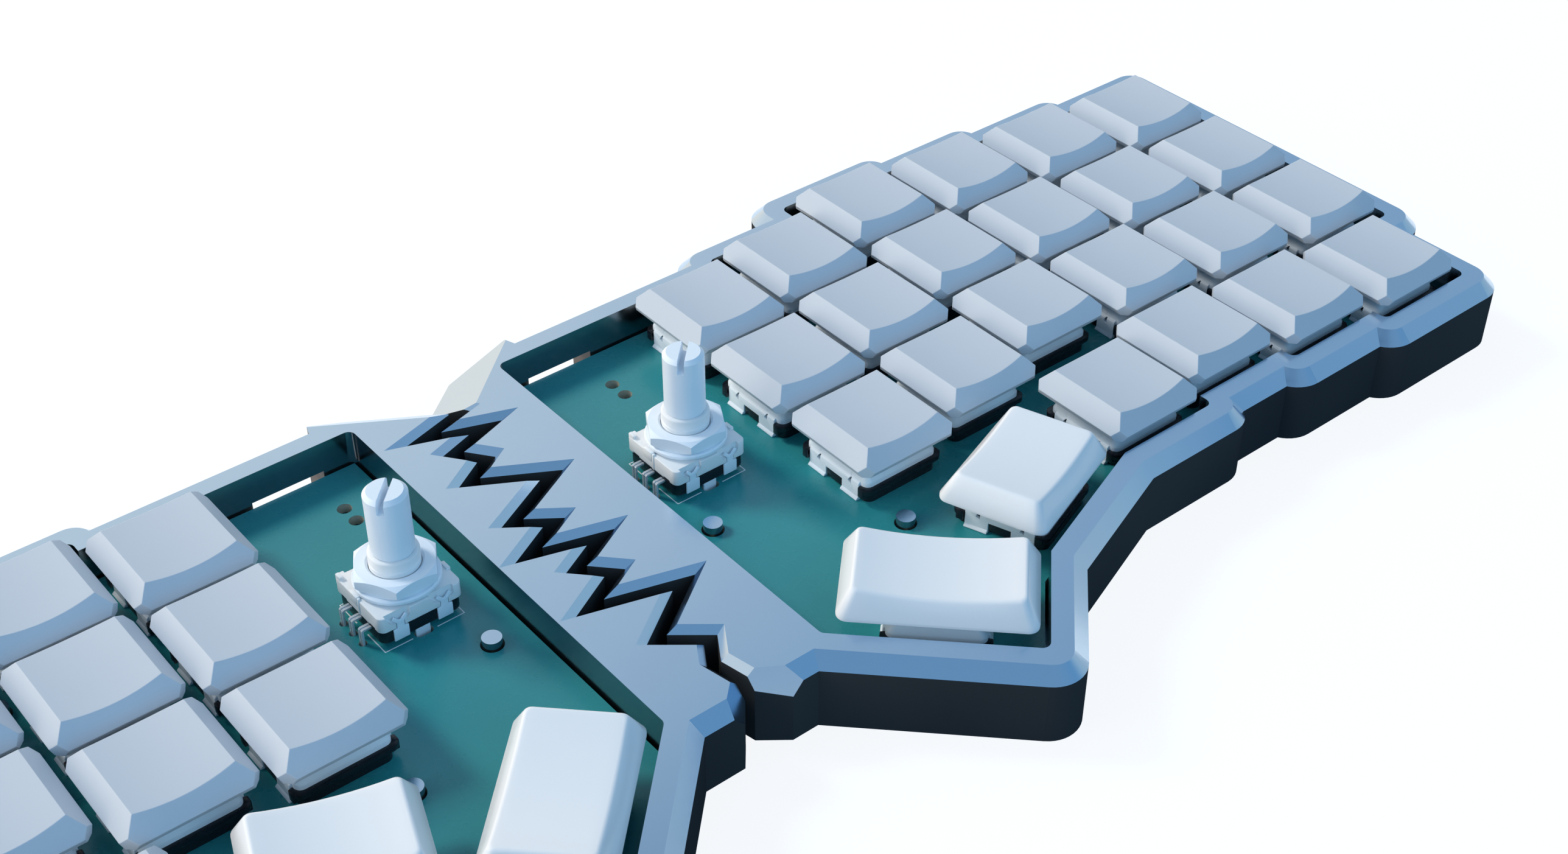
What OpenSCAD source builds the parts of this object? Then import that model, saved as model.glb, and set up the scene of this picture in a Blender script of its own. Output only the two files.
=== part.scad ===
// Ergonomic split keyboard: two tray cases that face each other along a zigzag gap,
// each with a circuit board, 24 low-profile keys and a rotary encoder.
// X runs across both halves, Y to the rear, Z up from the underside.

/* [Keys] */
// Distance between neighbouring key centres
pitch = 19.05; // [18.9:0.05:19.3]
// Width of a grey keycap at its widest line
cap_width = 18; // [17.4:0.1:18.2]
// Depth of the dish in a grey keycap
cap_dish = 0.6; // [0.3:0.1:0.8]
// How far a key goes down
key_travel = 3; // [2:0.1:3]

/* [Case] */
// Thickness of the tray wall
wall = 5; // [4.5:0.25:5.5]
// Chamfer along the outer top edge
edge_chamfer = 2; // [1:0.25:2.5]
// Height of the tray
case_height = 11.75; // [11.25:0.25:12.25]
// Floor under the circuit board
floor_thickness = 1.6; // [1.2:0.1:1.7]
// Radius of the pocket's upright corners
pocket_radius = 1.2; // [0.8:0.1:1.6]

/* [Gap between the halves] */
// Width of the zigzag gap
crack_gap = 1.9; // [1.5:0.1:2.1]
// Chamfer along the zigzag edges
crack_chamfer = 1; // [0.6:0.1:1.1]

/* [Board] */
// Thickness of the circuit board
board_thickness = 1.6; // [1.2:0.1:1.6]
// Diameter of the pegs that hold the board in place
peg_diameter = 2.8; // [2.4:0.1:3]

/* [Encoder] */
// Diameter of the shaft
shaft_diameter = 6; // [5.6:0.1:6.2]
// Height of the shaft's end above the board
shaft_height = 20.8; // [17:0.1:24]

/* [Hidden] */
$fn = 64;
half = pitch / 2;
// Everything laid out on the key grid grows with the pitch
grow = pitch / 19.05;
// Upper face of the circuit board
board_top = 6.05;
board_bottom = board_top - board_thickness;
// Space between the key cells and the tray wall, and between board and wall
margin = 0.4;
board_room = 1.1;
// The tray's core stops short of the wall line, and the walls reach back over it
core_inset = 0.4;
core_overlap = 1.5;
// Height by which the tray's walls are first made too tall
spare = 0.4;
hair = 0.01;
// Running gap of the shaft in its bushing
running_gap = 0.05;
// Thinner part of the shaft that turns in the bushing
journal = shaft_diameter - 0.4;
bushing_top = 10.9;

// Rearward step of the columns and of the short front row, in eighths of a pitch
column_step = pitch / 8 * [0, 1, 3, 2, 1, 0];
front_step = pitch / 8 * [1, 2, 1, 0];
first_column = 45.46 * grow;
front_row = first_column + 1.75 * pitch;
// Thumb keys: centre, angle, cap length
thumb_outer = [54.9, -59.7] * grow;
thumb_outer_angle = 20;
thumb_outer_length = 22 * grow;
thumb_inner = [30.1, -69.25] * grow;
thumb_inner_angle = -45;
thumb_inner_length = 26.5 * grow;
thumb_depth = 16.5 * grow;
encoder_place = [24.06, -21.95] * grow;
// Inner side of the key field and front line of the bridge
inner_side = 13 * grow;
bridge_front = -64.45 * grow;
bridge_end = -14 * grow;
// Corner where the rear chamfer stops beside the mouth of the gap
peak = 17.05 * grow;
window_middle = 23.55 * grow;
window_width = 11.5;
// Lugs of the encoder's frame and their oval slots in the board
lug_place = 5.3;
lug_size = [2.2, 0.4];
lug_slot_place = 5.6;
lug_slot_end = 0.65;
lug_slot_radius = 0.75;
// Encoder body: half sizes of its moulded base and its cast frame, and levels above the board
base_half = [6.15, 5.7];
frame_half = [6.35, 5.95];
base_low = 1;
frame_low = 3.1;
frame_top = 5.6;
// Crimp tabs at each side of the encoder: distance from its middle
crimp_place = 3.35;

function turn(p, a) = [p.x * cos(a) - p.y * sin(a), p.x * sin(a) + p.y * cos(a)];
function wedge(a, b) = a.x * b.y - a.y * b.x;
function meet(p, d, q, e) = p + d * wedge(q - p, e) / wedge(d, e);
function unit(v) = v / norm(v);
function outward(t) = [t.y, -t.x];
function angle_of(t) = atan2(t.y, t.x);
// Closed outline moved outward by d, corners kept sharp
function shift(p, d) = let(n = len(p)) [
    for (i = [0:n - 1])
        let(a = outward(unit(p[i] - p[(i + n - 1) % n])), b = outward(unit(p[(i + 1) % n] - p[i])))
            p[i] + (a + b) * d / (1 + a * b)
];
// Open line moved to its left by d
function beside(p, d) = let(n = len(p)) [
    for (i = [0:n - 1])
        let(
            a = -outward(unit(p[max(i, 1)] - p[max(i, 1) - 1])),
            b = -outward(unit(p[min(i + 1, n - 1)] - p[min(i, n - 2)]))
        ) p[i] + (a + b) * d / (1 + a * b)
];
function reversed(p) = [for (i = [len(p) - 1:-1:0]) p[i]];

// Outline of the key cells, counter-clockwise from the inner front corner
outer_wall_point = thumb_outer + turn([0, -half], thumb_outer_angle);
outer_wall_way = turn([1, 0], thumb_outer_angle);
front_wall_point = thumb_inner + turn([0, -half], thumb_inner_angle);
front_wall_way = turn([1, 0], thumb_inner_angle);
side_wall_point = thumb_inner + turn([0.75 * pitch, 0], thumb_inner_angle);
side_wall_way = turn([0, 1], thumb_inner_angle);
front_edge = [for (s = front_step) -3 * pitch + s - half];
rear_edge = [for (s = column_step) s + half];
cells = concat(
    [
        meet(front_wall_point, front_wall_way, [inner_side, 0], [0, 1]),
        meet(front_wall_point, front_wall_way, side_wall_point, side_wall_way),
        meet(side_wall_point, side_wall_way, outer_wall_point, outer_wall_way),
        meet(outer_wall_point, outer_wall_way, [0, front_edge[0]], [1, 0])
    ],
    [for (i = [0:2], e = [0, 1]) [front_row + i * pitch + half, front_edge[i + e]]],
    [
        [front_row + 3 * pitch + half, front_edge[3]],
        [front_row + 3 * pitch + half, -2 * pitch - half],
        [first_column + 5 * pitch + half, -2 * pitch - half],
        [first_column + 5 * pitch + half, rear_edge[5]]
    ],
    [for (i = [5:-1:1], e = [0, 1]) [first_column + i * pitch - half, rear_edge[i - e]]],
    [[inner_side, rear_edge[0]]]
);
pocket = shift(cells, margin);
rear_line = rear_edge[0] + margin;
front_corner = meet(pocket[0], front_wall_way, [0, bridge_front], [1, 0]);
// Inner line of the outer wall, from the bridge's front round to the rear peak
wall_line = concat(
    [[bridge_end, bridge_front], front_corner],
    [for (i = [1:len(pocket) - 2]) pocket[i]],
    [[peak + 0.5, rear_line]]
);
// The whole part is centred front to rear
row_zero = -(rear_edge[2] + margin + pocket[1].y) / 2;

// Middle line of the gap, from the rear mouth to the front mouth
crack = grow * [
    [-0.4, 9.4], [2.4, 4.6], [-5.2, 2.4], [3.4, -0.8], [-3.6, -3.2], [-0.6, -7.2], [-5.4, -10.2],
    [4.6, -16], [-5.6, -21.4], [-1, -24.8], [-7.6, -28.4], [2.2, -31.4], [-4.2, -34.8],
    [-0.6, -38.6], [-7.2, -42.2], [5.4, -46], [-4, -52.6], [1.4, -57], [-1, -60.8], [0.2, -66.6]
];
right_side = beside(crack, crack_gap / 2);
left_side = beside(crack, -crack_gap / 2);
last = len(crack) - 1;
// Mouths of the gap on each half
right_rear_mouth = [right_side[0] + 16 * grow * unit([6.4, 5.1])];
right_front_mouth = [right_side[last] + 14 * grow * unit([3.8, -3])];
left_rear_mouth = grow * [[-19, 15.7], [-12.1, 13.6], [-1.7, 7.7]];
left_front_mouth = [left_side[last] + 14 * grow * unit([-2.2, -2.7])];

// Key places of one half: x, y, angle, cap length (0 for a grey cap)
key_places = concat(
    [for (r = [0:2], c = [0:5]) [first_column + c * pitch, column_step[c] - r * pitch, 0, 0]],
    [for (i = [0:3]) [front_row + i * pitch, front_step[i] - 3 * pitch, 0, 0]],
    [
        [thumb_outer.x, thumb_outer.y, thumb_outer_angle, thumb_outer_length],
        [thumb_inner.x, thumb_inner.y, thumb_inner_angle, thumb_inner_length]
    ]
);
key_names = concat(
    [for (r = [1:3], c = [1:6]) str("key_row", r, "_col", c)],
    [for (i = [1:4]) str("key_row4_col", i)],
    ["key_thumb_outer", "key_thumb_inner"]
);
peg_places = [
    grow * [18.4, -35.4], grow * [40.3, -51.5],
    [first_column + 1.5 * pitch, -0.35 * pitch], [first_column + 4.5 * pitch, -0.35 * pitch],
    [first_column + 2.5 * pitch, -1.5 * pitch], [first_column + 4.5 * pitch, -1.9 * pitch]
];
fixed_names = ["case", "circuit_board", "switch_bases", "switch_covers", "encoder_body", "encoder_shaft"];

// Switch and cap levels above the board
skirt_low = 1.8;
flange_top = 2.6;
cover_top = 5;
cap_bottom = 6.35;
cap_rim = 7.25;
cap_top = 10;
cap_ceiling = cover_top + 3.35;
well_floor = 3.4 - 3;
stem_bottom = well_floor + 0.1 + key_travel;

// Tray

// Section of the outer wall, from a line inside it to its outer face, before top and underside are trimmed
module wall_profile(inside, reach) {
    polygon([[inside, -spare], [reach, -spare], [reach, case_height - edge_chamfer],
        [reach - edge_chamfer - spare, case_height + spare], [inside, case_height + spare]]);
}

module wall_run(a, b) {
    translate(a) rotate(angle_of(b - a)) rotate([90, 0, 90])
        linear_extrude(norm(b - a)) mirror([1, 0]) wall_profile(-core_overlap, wall);
}

// Round outer corner of the wall, or the fill behind an inner corner
module wall_corner(at, outer) {
    translate(at) {
        if (outer) rotate_extrude() wall_profile(0, wall - hair);
        else translate([0, 0, -spare / 3]) cylinder(r = core_inset * 3, h = case_height + spare);
    }
}

module rounded_outline(p, r) {
    inner = shift(p, -r);
    n = len(p);
    polygon(inner);
    for (i = [0:n - 1]) {
        a = inner[i];
        b = inner[(i + 1) % n];
        t = inner[(i + n - 1) % n];
        translate(a) rotate(angle_of(b - a)) translate([0, -r]) square([norm(b - a), r]);
        if (wedge(a - t, b - a) > 0) translate(a) circle(r);
    }
}

// Both trays before the zigzag is cut, right-hand form
module tray_blank() {
    n = len(wall_line);
    rear = rear_line + wall;
    intersection() {
        union() {
            translate([0, 0, -spare / 2]) linear_extrude(case_height + spare)
                polygon(shift(wall_line, -core_inset));
            for (i = [0:n - 2]) wall_run(wall_line[i], wall_line[i + 1]);
            for (i = [1:n - 2])
                wall_corner(wall_line[i],
                    wedge(wall_line[i] - wall_line[i - 1], wall_line[i + 1] - wall_line[i]) > 0);
            translate([0, 0, -spare / 4]) linear_extrude(case_height + spare) polygon([
                [bridge_end, bridge_front], [peak + 5, bridge_front], [peak + 5, rear_line - core_inset],
                [peak + 0.7, rear - edge_chamfer], [peak, rear], [bridge_end, rear]
            ]);
        }
        translate([-250, -250, 0]) cube([500, 500, case_height]);
    }
}

module peg(place) {
    translate(place) {
        cylinder(d = peg_diameter + 2.8, h = board_bottom);
        cylinder(d = peg_diameter, h = board_top + 1.3);
    }
}

module tray_inside() {
    difference() {
        translate([0, 0, floor_thickness])
            linear_extrude(case_height) rounded_outline(pocket, pocket_radius);
        for (p = peg_places) peg(p);
    }
    // cable window, open to the underside
    translate([window_middle - window_width / 2, rear_line - 2, -1])
        cube([window_width, wall + 4, board_top + 0.7 + 1]);
}

// Space above the sloped plane of a bevel along the line from a to b, back from that plane by a little
module bevel_run(a, b, before, after, back) {
    low = crack_chamfer + 0.2;
    translate(a) rotate(angle_of(b - a)) translate([-before, 0, 0]) rotate([90, 0, 90])
        linear_extrude(norm(b - a) + before + after)
            polygon([[-0.2 - back, case_height - low], [crack_chamfer + 0.2 - back, case_height + 0.2],
                [-20, case_height + 0.2], [-20, case_height - low]]);
}

// Cutter for the bevels of a zigzag edge; the tray lies to the left of the line.
// At a notch each bevel runs on until it meets the next one.
module zigzag_bevel(line) {
    n = len(line);
    function bend(i) = i <= 0 || i >= n - 1 ? 1
        : wedge(unit(line[i] - line[i - 1]), unit(line[i + 1] - line[i]));
    function reach(i) = i <= 0 || i >= n - 1 ? 0.3 : bend(i) > 0 ? 0.15 : 4;
    for (i = [0:n - 2]) intersection() {
        bevel_run(line[i], line[i + 1], reach(i), reach(i + 1), 0);
        translate(line[i]) rotate(angle_of(line[i + 1] - line[i]))
            translate([-9, -0.2, 0]) cube([40, 9, case_height + 9]);
        if (bend(i) < 0) bevel_run(line[i - 1], line[i], 9, 9, 2 * hair);
        else bevel_run(line[i], line[i + 1], 9, 9, -hair);
        if (bend(i + 1) < 0) bevel_run(line[i + 1], line[i + 2], 9, 9, 2 * hair);
        else bevel_run(line[i], line[i + 1], 9, 9, -hair);
    }
}

// Cutter for a sloped facet that falls away to the left of the line from a to b
module facet(a, b, slope, before, after) {
    translate([a.x, a.y, case_height]) rotate(angle_of(b - a)) rotate([-slope, 0, 0])
        translate([-before, 0, 0]) cube([norm(b - a) + before + after, 30, 12]);
}

module right_case() {
    edge = concat(right_rear_mouth, right_side, right_front_mouth);
    color("lightsteelblue") translate([0, row_zero, 0]) difference() {
        tray_blank();
        tray_inside();
        translate([0, 0, -1]) linear_extrude(case_height + 2)
            polygon(concat(edge, [[-60, edge[len(edge) - 1].y], [-60, edge[0].y]]));
        zigzag_bevel(right_side);
        facet(grow * [5, 3.95], [peak, grow * 14.45], 29, 0.9, 3);
        facet(grow * [5.3, -67.5], grow * [2.15, -65.5], 65, 4, 2);
    }
}

module left_case() {
    edge = concat(left_rear_mouth, [for (i = [1:last]) left_side[i]], left_front_mouth);
    color("lightsteelblue") translate([0, row_zero, 0]) difference() {
        mirror([1, 0, 0]) {
            difference() {
                tray_blank();
                tray_inside();
            }
        }
        translate([0, 0, -1]) linear_extrude(case_height + 2)
            polygon(concat(edge, [[60, edge[len(edge) - 1].y], [60, edge[0].y]]));
        zigzag_bevel(reversed([for (i = [1:last]) left_side[i]]));
        facet([-peak, grow * 14.45], grow * [0, 4], 30, 3, 1.5);
        facet(grow * [-2.2, -65.6], grow * [-4.3, -67.6], 59, 2, 4);
    }
}

// Circuit board

module at_keys() {
    for (k = key_places) translate([k.x, k.y]) rotate(k[2]) children();
}

module board_blank(side) {
    linear_extrude(board_thickness) difference() {
        scale_side(side) polygon(shift(pocket, -board_room));
        scale_side(side) at_keys() {
            circle(d = 3.6);
            for (s = [-1, 1]) translate([5.5 * s, 0]) circle(d = 2);
        }
        scale_side(side) for (p = peg_places) translate(p) circle(d = peg_diameter + 0.5);
        translate([side * encoder_place.x, encoder_place.y]) {
            for (i = [-1:1]) translate([-7.5, 2.5 * i]) circle(d = 1.2);
            for (s = [-1, 1]) translate([0, lug_slot_place * s]) {
                square([2 * lug_slot_end, 2 * lug_slot_radius], center = true);
                for (e = [-1, 1]) translate([e * lug_slot_end, 0]) circle(r = lug_slot_radius);
            }
        }
        for (i = [-1, 1]) translate([grow * (side > 0 ? 27.4 : -19.4), -0.3 + 1.65 * i]) circle(d = 2.2);
    }
}

module scale_side(side) {
    if (side > 0) children();
    else mirror([1, 0, 0]) children();
}

module board(side) {
    color("teal") translate([0, row_zero, board_bottom]) board_blank(side);
    // cable socket and controller under the board
    color("silver") translate([side * window_middle - 4.5, row_zero + rear_line - 8.5, board_bottom - 2.65])
        cube([9, 7, 2.6]);
    color("black") translate([side * grow * 26 - 4, row_zero - 8, board_bottom - 1.25]) cube([8, 8, 1.2]);
}

module right_circuit_board() {
    board(1);
}

module left_circuit_board() {
    board(-1);
}

// Key switches

module switch_base() {
    difference() {
        union() {
            translate([-6.6, -6.9, 0]) cube([13.2, 13.8, flange_top]);
            difference() {
                translate([-7.4, -7.4, flange_top - 0.8]) cube([14.8, 14.8, 0.8]);
                for (s = [-1, 1]) translate([7.6 * s - 1, -5.6, 1]) cube([2, 11.2, 3]);
            }
            for (s = [-1, 1]) translate([6.8 * s - 0.4, -1.6, 0.3]) cube([0.8, 3.2, skirt_low - 0.35]);
            translate([0, 0, -2.7]) cylinder(d = 3.4, h = 2.8);
            for (s = [-1, 1]) translate([5.5 * s, 0, -1.9]) cylinder(d = 1.8, h = 2);
        }
        translate([-5.6, -5.6, well_floor]) cube([11.2, 11.2, 4]);
    }
}

module cover_profile() {
    polygon([[-6.75, flange_top], [6.75, flange_top], [6.75, 3.3], [5.9, cover_top], [-5.9, cover_top],
        [-6.75, 3.3]]);
}

module switch_cover() {
    difference() {
        intersection() {
            translate([0, 8, 0]) rotate([90, 0, 0]) linear_extrude(16) cover_profile();
            translate([-8, 0, 0]) rotate([90, 0, 90]) linear_extrude(16) cover_profile();
        }
        translate([-5.5, -5.5, 1]) cube([11, 11, 3.2]);
        translate([-3.8, -2.9, 4]) cube([7.6, 5.8, 2]);
    }
    // skirts at two sides, each with two legs and their flared feet
    for (x = [-1, 1]) {
        translate([6.95 * x - 0.3, -5.4, skirt_low]) cube([0.6, 10.8, 3.25 - skirt_low]);
        for (y = [-1, 1]) {
            translate([6.95 * x - 0.3, 3.6 * y - 1.8, 0.05]) cube([0.6, 3.6, 2.5]);
            translate([7.1 * x, 3.6 * y + 1.8, 0.05]) rotate([90, 0, 0]) linear_extrude(3.6)
                polygon([[-0.2 * x, 0], [0.45 * x, 0], [0.45 * x, 0.2], [-0.2 * x, 0.85]]);
        }
    }
}

module right_switch_bases() {
    color("black") translate([0, row_zero, board_top]) at_keys() switch_base();
}

module left_switch_bases() {
    color("black") translate([0, row_zero, board_top]) mirror([1, 0, 0]) at_keys() switch_base();
}

module right_switch_covers() {
    color("white") translate([0, row_zero, board_top]) at_keys() switch_cover();
}

module left_switch_covers() {
    color("white") translate([0, row_zero, board_top]) mirror([1, 0, 0]) at_keys() switch_cover();
}

// Keys: cap with two prongs, and the stem that they press into

module stem() {
    difference() {
        union() {
            translate([-3.5, -2.6, stem_bottom]) cube([7, 5.2, cap_ceiling - 0.05 - stem_bottom]);
            translate([-4.8, -4, stem_bottom]) cube([9.6, 8, 4.1 - stem_bottom]);
        }
        for (s = [-1, 1]) translate([2.3 * s - 0.6, -1.5, 5]) cube([1.2, 3, 5]);
    }
}

module prongs() {
    for (s = [-1, 1]) translate([2.3 * s - 0.55, -1.45, 5.2]) cube([1.1, 2.9, cap_ceiling - 5.1]);
}

module corner_cut(l, d, cut) {
    x = l / 2;
    y = d / 2;
    polygon([
        [x - cut, -y], [x, cut - y], [x, y - cut], [x - cut, y],
        [cut - x, y], [-x, y - cut], [-x, cut - y], [cut - x, -y]
    ]);
}

module cap_profile() {
    w = cap_width / 2;
    polygon([[-w + 0.6, cap_bottom], [w - 0.6, cap_bottom], [w, cap_rim], [w - 2.4, cap_top],
        [-w + 2.4, cap_top], [-w, cap_rim]]);
}

module grey_cap() {
    dish_half = cap_width / 2 - 2.4;
    dish_radius = (dish_half * dish_half + cap_dish * cap_dish) / (2 * cap_dish);
    difference() {
        intersection() {
            translate([0, 12, 0]) rotate([90, 0, 0]) linear_extrude(24) cap_profile();
            translate([-12, 0, 0]) rotate([90, 0, 90]) linear_extrude(24) cap_profile();
            linear_extrude(20) corner_cut(cap_width, cap_width, 1.75);
        }
        translate([0, 12, cap_top - cap_dish + dish_radius]) rotate([90, 0, 0])
            cylinder(r = dish_radius, h = 24, $fn = 128);
        translate([-7.3, -7.3, cap_bottom - 1]) cube([14.6, 14.6, cap_ceiling - cap_bottom + 1]);
    }
    prongs();
}

// Sloped side with a bevelled upper corner, half length h at the foot
module thumb_profile(h) {
    low = cap_bottom;
    high = cap_top + 0.5;
    tip = h - 1.9;
    polygon([[-h, low], [h, low], [h, low + 0.5], [tip + 0.25, high - 0.55], [tip - 0.6, high],
        [0.6 - tip, high], [-tip - 0.25, high - 0.55], [-h, low + 0.5]]);
}

module thumb_cap(length) {
    dish = length > 24 ? 1.1 : 0.9;
    span = length / 2 - 1.9;
    dish_radius = (span * span + dish * dish) / (2 * dish);
    difference() {
        intersection() {
            translate([0, 12, 0]) rotate([90, 0, 0]) linear_extrude(24) thumb_profile(length / 2);
            translate([-20, 0, 0]) rotate([90, 0, 90]) linear_extrude(40) thumb_profile(thumb_depth / 2);
            linear_extrude(20) corner_cut(length, thumb_depth, 0.8);
        }
        translate([0, 12, cap_top + 0.5 - dish + dish_radius]) rotate([90, 0, 0])
            cylinder(r = dish_radius, h = 24, $fn = 128);
        translate([1.3 - length / 2, 1.3 - thumb_depth / 2, cap_bottom - 1])
            cube([length - 2.6, thumb_depth - 2.6, cap_ceiling - cap_bottom + 1]);
    }
    prongs();
}

module key(i) {
    place = key_places[i];
    translate([place.x, place.y + row_zero, board_top]) rotate(place[2]) {
        if (place[3] == 0) color("lightsteelblue") grey_cap();
        else color("white") thumb_cap(place[3]);
        color("dimgray") stem();
    }
}

// Rotary encoder, placed the same way round in both halves

module round_block(size, radius) {
    square([2 * size.x - 2 * radius, 2 * size.y], center = true);
    square([2 * size.x, 2 * size.y - 2 * radius], center = true);
    for (x = [-1, 1], y = [-1, 1])
        translate([x * (size.x - radius), y * (size.y - radius)]) circle(radius);
}

// Moulded base on four short feet, with a well for the shaft's flange and slots for the lugs
module encoder_base() {
    difference() {
        union() {
            translate([0, 0, base_low])
                linear_extrude(frame_low - 0.05 - base_low) round_block(base_half, 1.2);
            for (x = [-1, 1], y = [-1, 1]) translate([4.2 * x, 3.4 * y, 0.02])
                cylinder(d = 1.6, h = base_low + 0.3);
        }
        translate([0, 0, 1.5]) cylinder(d = 8.8, h = 4);
        for (s = [-1, 1]) translate([0, lug_place * s, 2])
            cube([lug_size.x + 0.1, lug_size.y + 0.1, 5], center = true);
    }
}

// Recess in the frame's edge where a crimp tab is bent over, with a narrow slot below for its neck
module crimp_recess() {
    rotate([90, 0, 0]) linear_extrude(2) {
        polygon([[-1.75, frame_top + 0.5], [-1.75, 4.5], [-1.15, 3.95], [1.15, 3.95], [1.85, 4.6],
            [1.85, frame_top + 0.5]]);
        translate([-0.65, frame_low - 0.5]) square([1.3, 1.5]);
    }
}

// Tab that holds base and frame together: broad foot, neck and two arms
module crimp_tab() {
    rotate([90, 0, 0]) linear_extrude(0.25) polygon([
        [-1.15, base_low + 0.05], [1.15, base_low + 0.05], [1.15, 2.95], [0.6, 2.95], [0.6, 3.9],
        [1.15, 4.8], [0.75, 5.05], [0, 4.3], [-0.75, 5.05], [-1.15, 4.8], [-0.6, 3.9], [-0.6, 2.95],
        [-1.15, 2.95]
    ]);
}

module at_crimps(reach) {
    for (x = [-1, 1], turned = [0, 180]) rotate(turned)
        translate([x * crimp_place, -reach, 0]) children();
}

module encoder_frame() {
    bore = journal + 2 * running_gap;
    difference() {
        union() {
            translate([0, 0, frame_low]) linear_extrude(frame_top - frame_low) round_block(frame_half, 0.9);
            translate([0, 0, frame_top - 0.1]) cylinder(d = 10.4, h = 0.5);
            translate([0, 0, frame_top - 0.1]) cylinder(d = 7, h = bushing_top - 0.4 - frame_top + 0.1);
            translate([0, 0, bushing_top - 0.4]) cylinder(d1 = 7, d2 = 6.6, h = 0.4);
            // stops and ear that stand above the edge
            translate([-6.5, -0.35, 4.45]) cube([0.75, 1.9, 1.5]);
            translate([-6.45, -0.75, frame_low + 0.05]) cube([0.5, 0.45, 2.75]);
            translate([5.9, -2.8, 4.5]) cube([0.65, 1.7, 1.35]);
            translate([-6.25, 4.25, 4.5]) cube([0.6, 1.1, 1.6]);
            for (s = [-1, 1]) translate([0, lug_place * s, (frame_low + 0.4 - 2.2) / 2])
                cube([lug_size.x, lug_size.y, frame_low + 0.4 + 2.2], center = true);
        }
        translate([0, 0, -1]) cylinder(d = bore, h = 20);
        translate([0, 0, 3]) cylinder(d = 8.8, h = 2.1);
        at_crimps(5.35) crimp_recess();
    }
}

module encoder_crimps() {
    at_crimps(base_half.y + 0.05) crimp_tab();
}

module encoder_terminals() {
    for (i = [-1:1]) translate([0, 2.5 * i, 0]) {
        translate([-7.7, -0.45, 2.2]) cube([7.65 - base_half.x, 0.9, 0.4]);
        translate([-7.7, -0.45, -2.2]) cube([0.4, 0.9, 4.8]);
    }
}

module encoder_nut() {
    difference() {
        translate([0, 0, 6.75]) cylinder(r = 6.1, h = 2, $fn = 6);
        cylinder(d = 7.1, h = 20);
    }
}

module encoder_washer() {
    difference() {
        translate([0, 0, 6.05]) cylinder(d = 12, h = 0.65);
        cylinder(d = 7.1, h = 20);
    }
}

module encoder(side) {
    translate([side * encoder_place.x, encoder_place.y + row_zero, board_top]) {
        color("black") encoder_base();
        color("lavender") encoder_frame();
        color("lavender") encoder_crimps();
        color("silver") encoder_terminals();
        color("lavender") encoder_nut();
        color("lavender") encoder_washer();
    }
}

module right_encoder_body() {
    encoder(1);
}

module left_encoder_body() {
    encoder(-1);
}

module shaft(side) {
    r = shaft_diameter / 2;
    color("lavender") translate([side * encoder_place.x, encoder_place.y + row_zero, board_top])
        difference() {
            union() {
                translate([0, 0, 1.8]) cylinder(d = journal, h = bushing_top);
                translate([0, 0, bushing_top + 0.25]) cylinder(r = r, h = shaft_height - bushing_top - 0.75);
                translate([0, 0, shaft_height - 0.5]) cylinder(r1 = r, r2 = r - 0.5, h = 0.5);
                translate([0, 0, 1.8]) cylinder(d = 8, h = 3);
            }
            translate([0, 0, shaft_height - 2]) rotate(45) translate([-5, -0.5, 0]) cube([10, 1, 4]);
        }
}

module right_encoder_shaft() {
    shaft(1);
}

module left_encoder_shaft() {
    shaft(-1);
}

module right_key(i) {
    key(i);
}

module left_key(i) {
    mirror([1, 0, 0]) key(i);
}

right_case();
left_case();
right_circuit_board();
left_circuit_board();
right_switch_bases();
left_switch_bases();
right_switch_covers();
left_switch_covers();
right_encoder_body();
left_encoder_body();
right_encoder_shaft();
left_encoder_shaft();
for (i = [0:len(key_names) - 1]) {
    right_key(i);
    left_key(i);
}
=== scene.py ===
import math

import bmesh
import bpy
from mathutils import Matrix, Vector


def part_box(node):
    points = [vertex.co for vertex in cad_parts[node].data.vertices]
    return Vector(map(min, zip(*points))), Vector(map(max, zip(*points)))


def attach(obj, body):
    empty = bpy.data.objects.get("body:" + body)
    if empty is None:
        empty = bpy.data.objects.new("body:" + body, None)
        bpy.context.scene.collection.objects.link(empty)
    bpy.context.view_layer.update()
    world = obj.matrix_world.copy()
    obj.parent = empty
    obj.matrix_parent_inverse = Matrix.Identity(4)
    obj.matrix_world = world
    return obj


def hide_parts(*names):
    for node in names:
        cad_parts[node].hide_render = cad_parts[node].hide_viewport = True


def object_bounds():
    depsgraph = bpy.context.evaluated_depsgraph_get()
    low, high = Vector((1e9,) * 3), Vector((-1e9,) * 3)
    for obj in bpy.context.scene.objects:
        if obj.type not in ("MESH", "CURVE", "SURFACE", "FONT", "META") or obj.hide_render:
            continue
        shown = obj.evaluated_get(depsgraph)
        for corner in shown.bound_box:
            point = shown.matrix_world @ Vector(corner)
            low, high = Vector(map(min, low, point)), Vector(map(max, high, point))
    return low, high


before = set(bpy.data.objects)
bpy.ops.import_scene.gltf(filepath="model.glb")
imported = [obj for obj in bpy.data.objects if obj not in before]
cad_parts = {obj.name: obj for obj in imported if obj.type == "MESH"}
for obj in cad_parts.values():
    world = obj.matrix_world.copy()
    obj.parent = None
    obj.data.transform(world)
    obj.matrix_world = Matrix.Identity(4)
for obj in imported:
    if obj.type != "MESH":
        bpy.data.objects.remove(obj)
cadLow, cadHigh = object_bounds()
mm = 0.001
sides = {"right": 1, "left": -1}
quarters = ((-1, -1), (-1, 1), (1, -1), (1, 1))
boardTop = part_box("right_circuit_board")[1].z
print("frame loaded,", len(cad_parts), "nodes")


# Camera, floor and light

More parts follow.
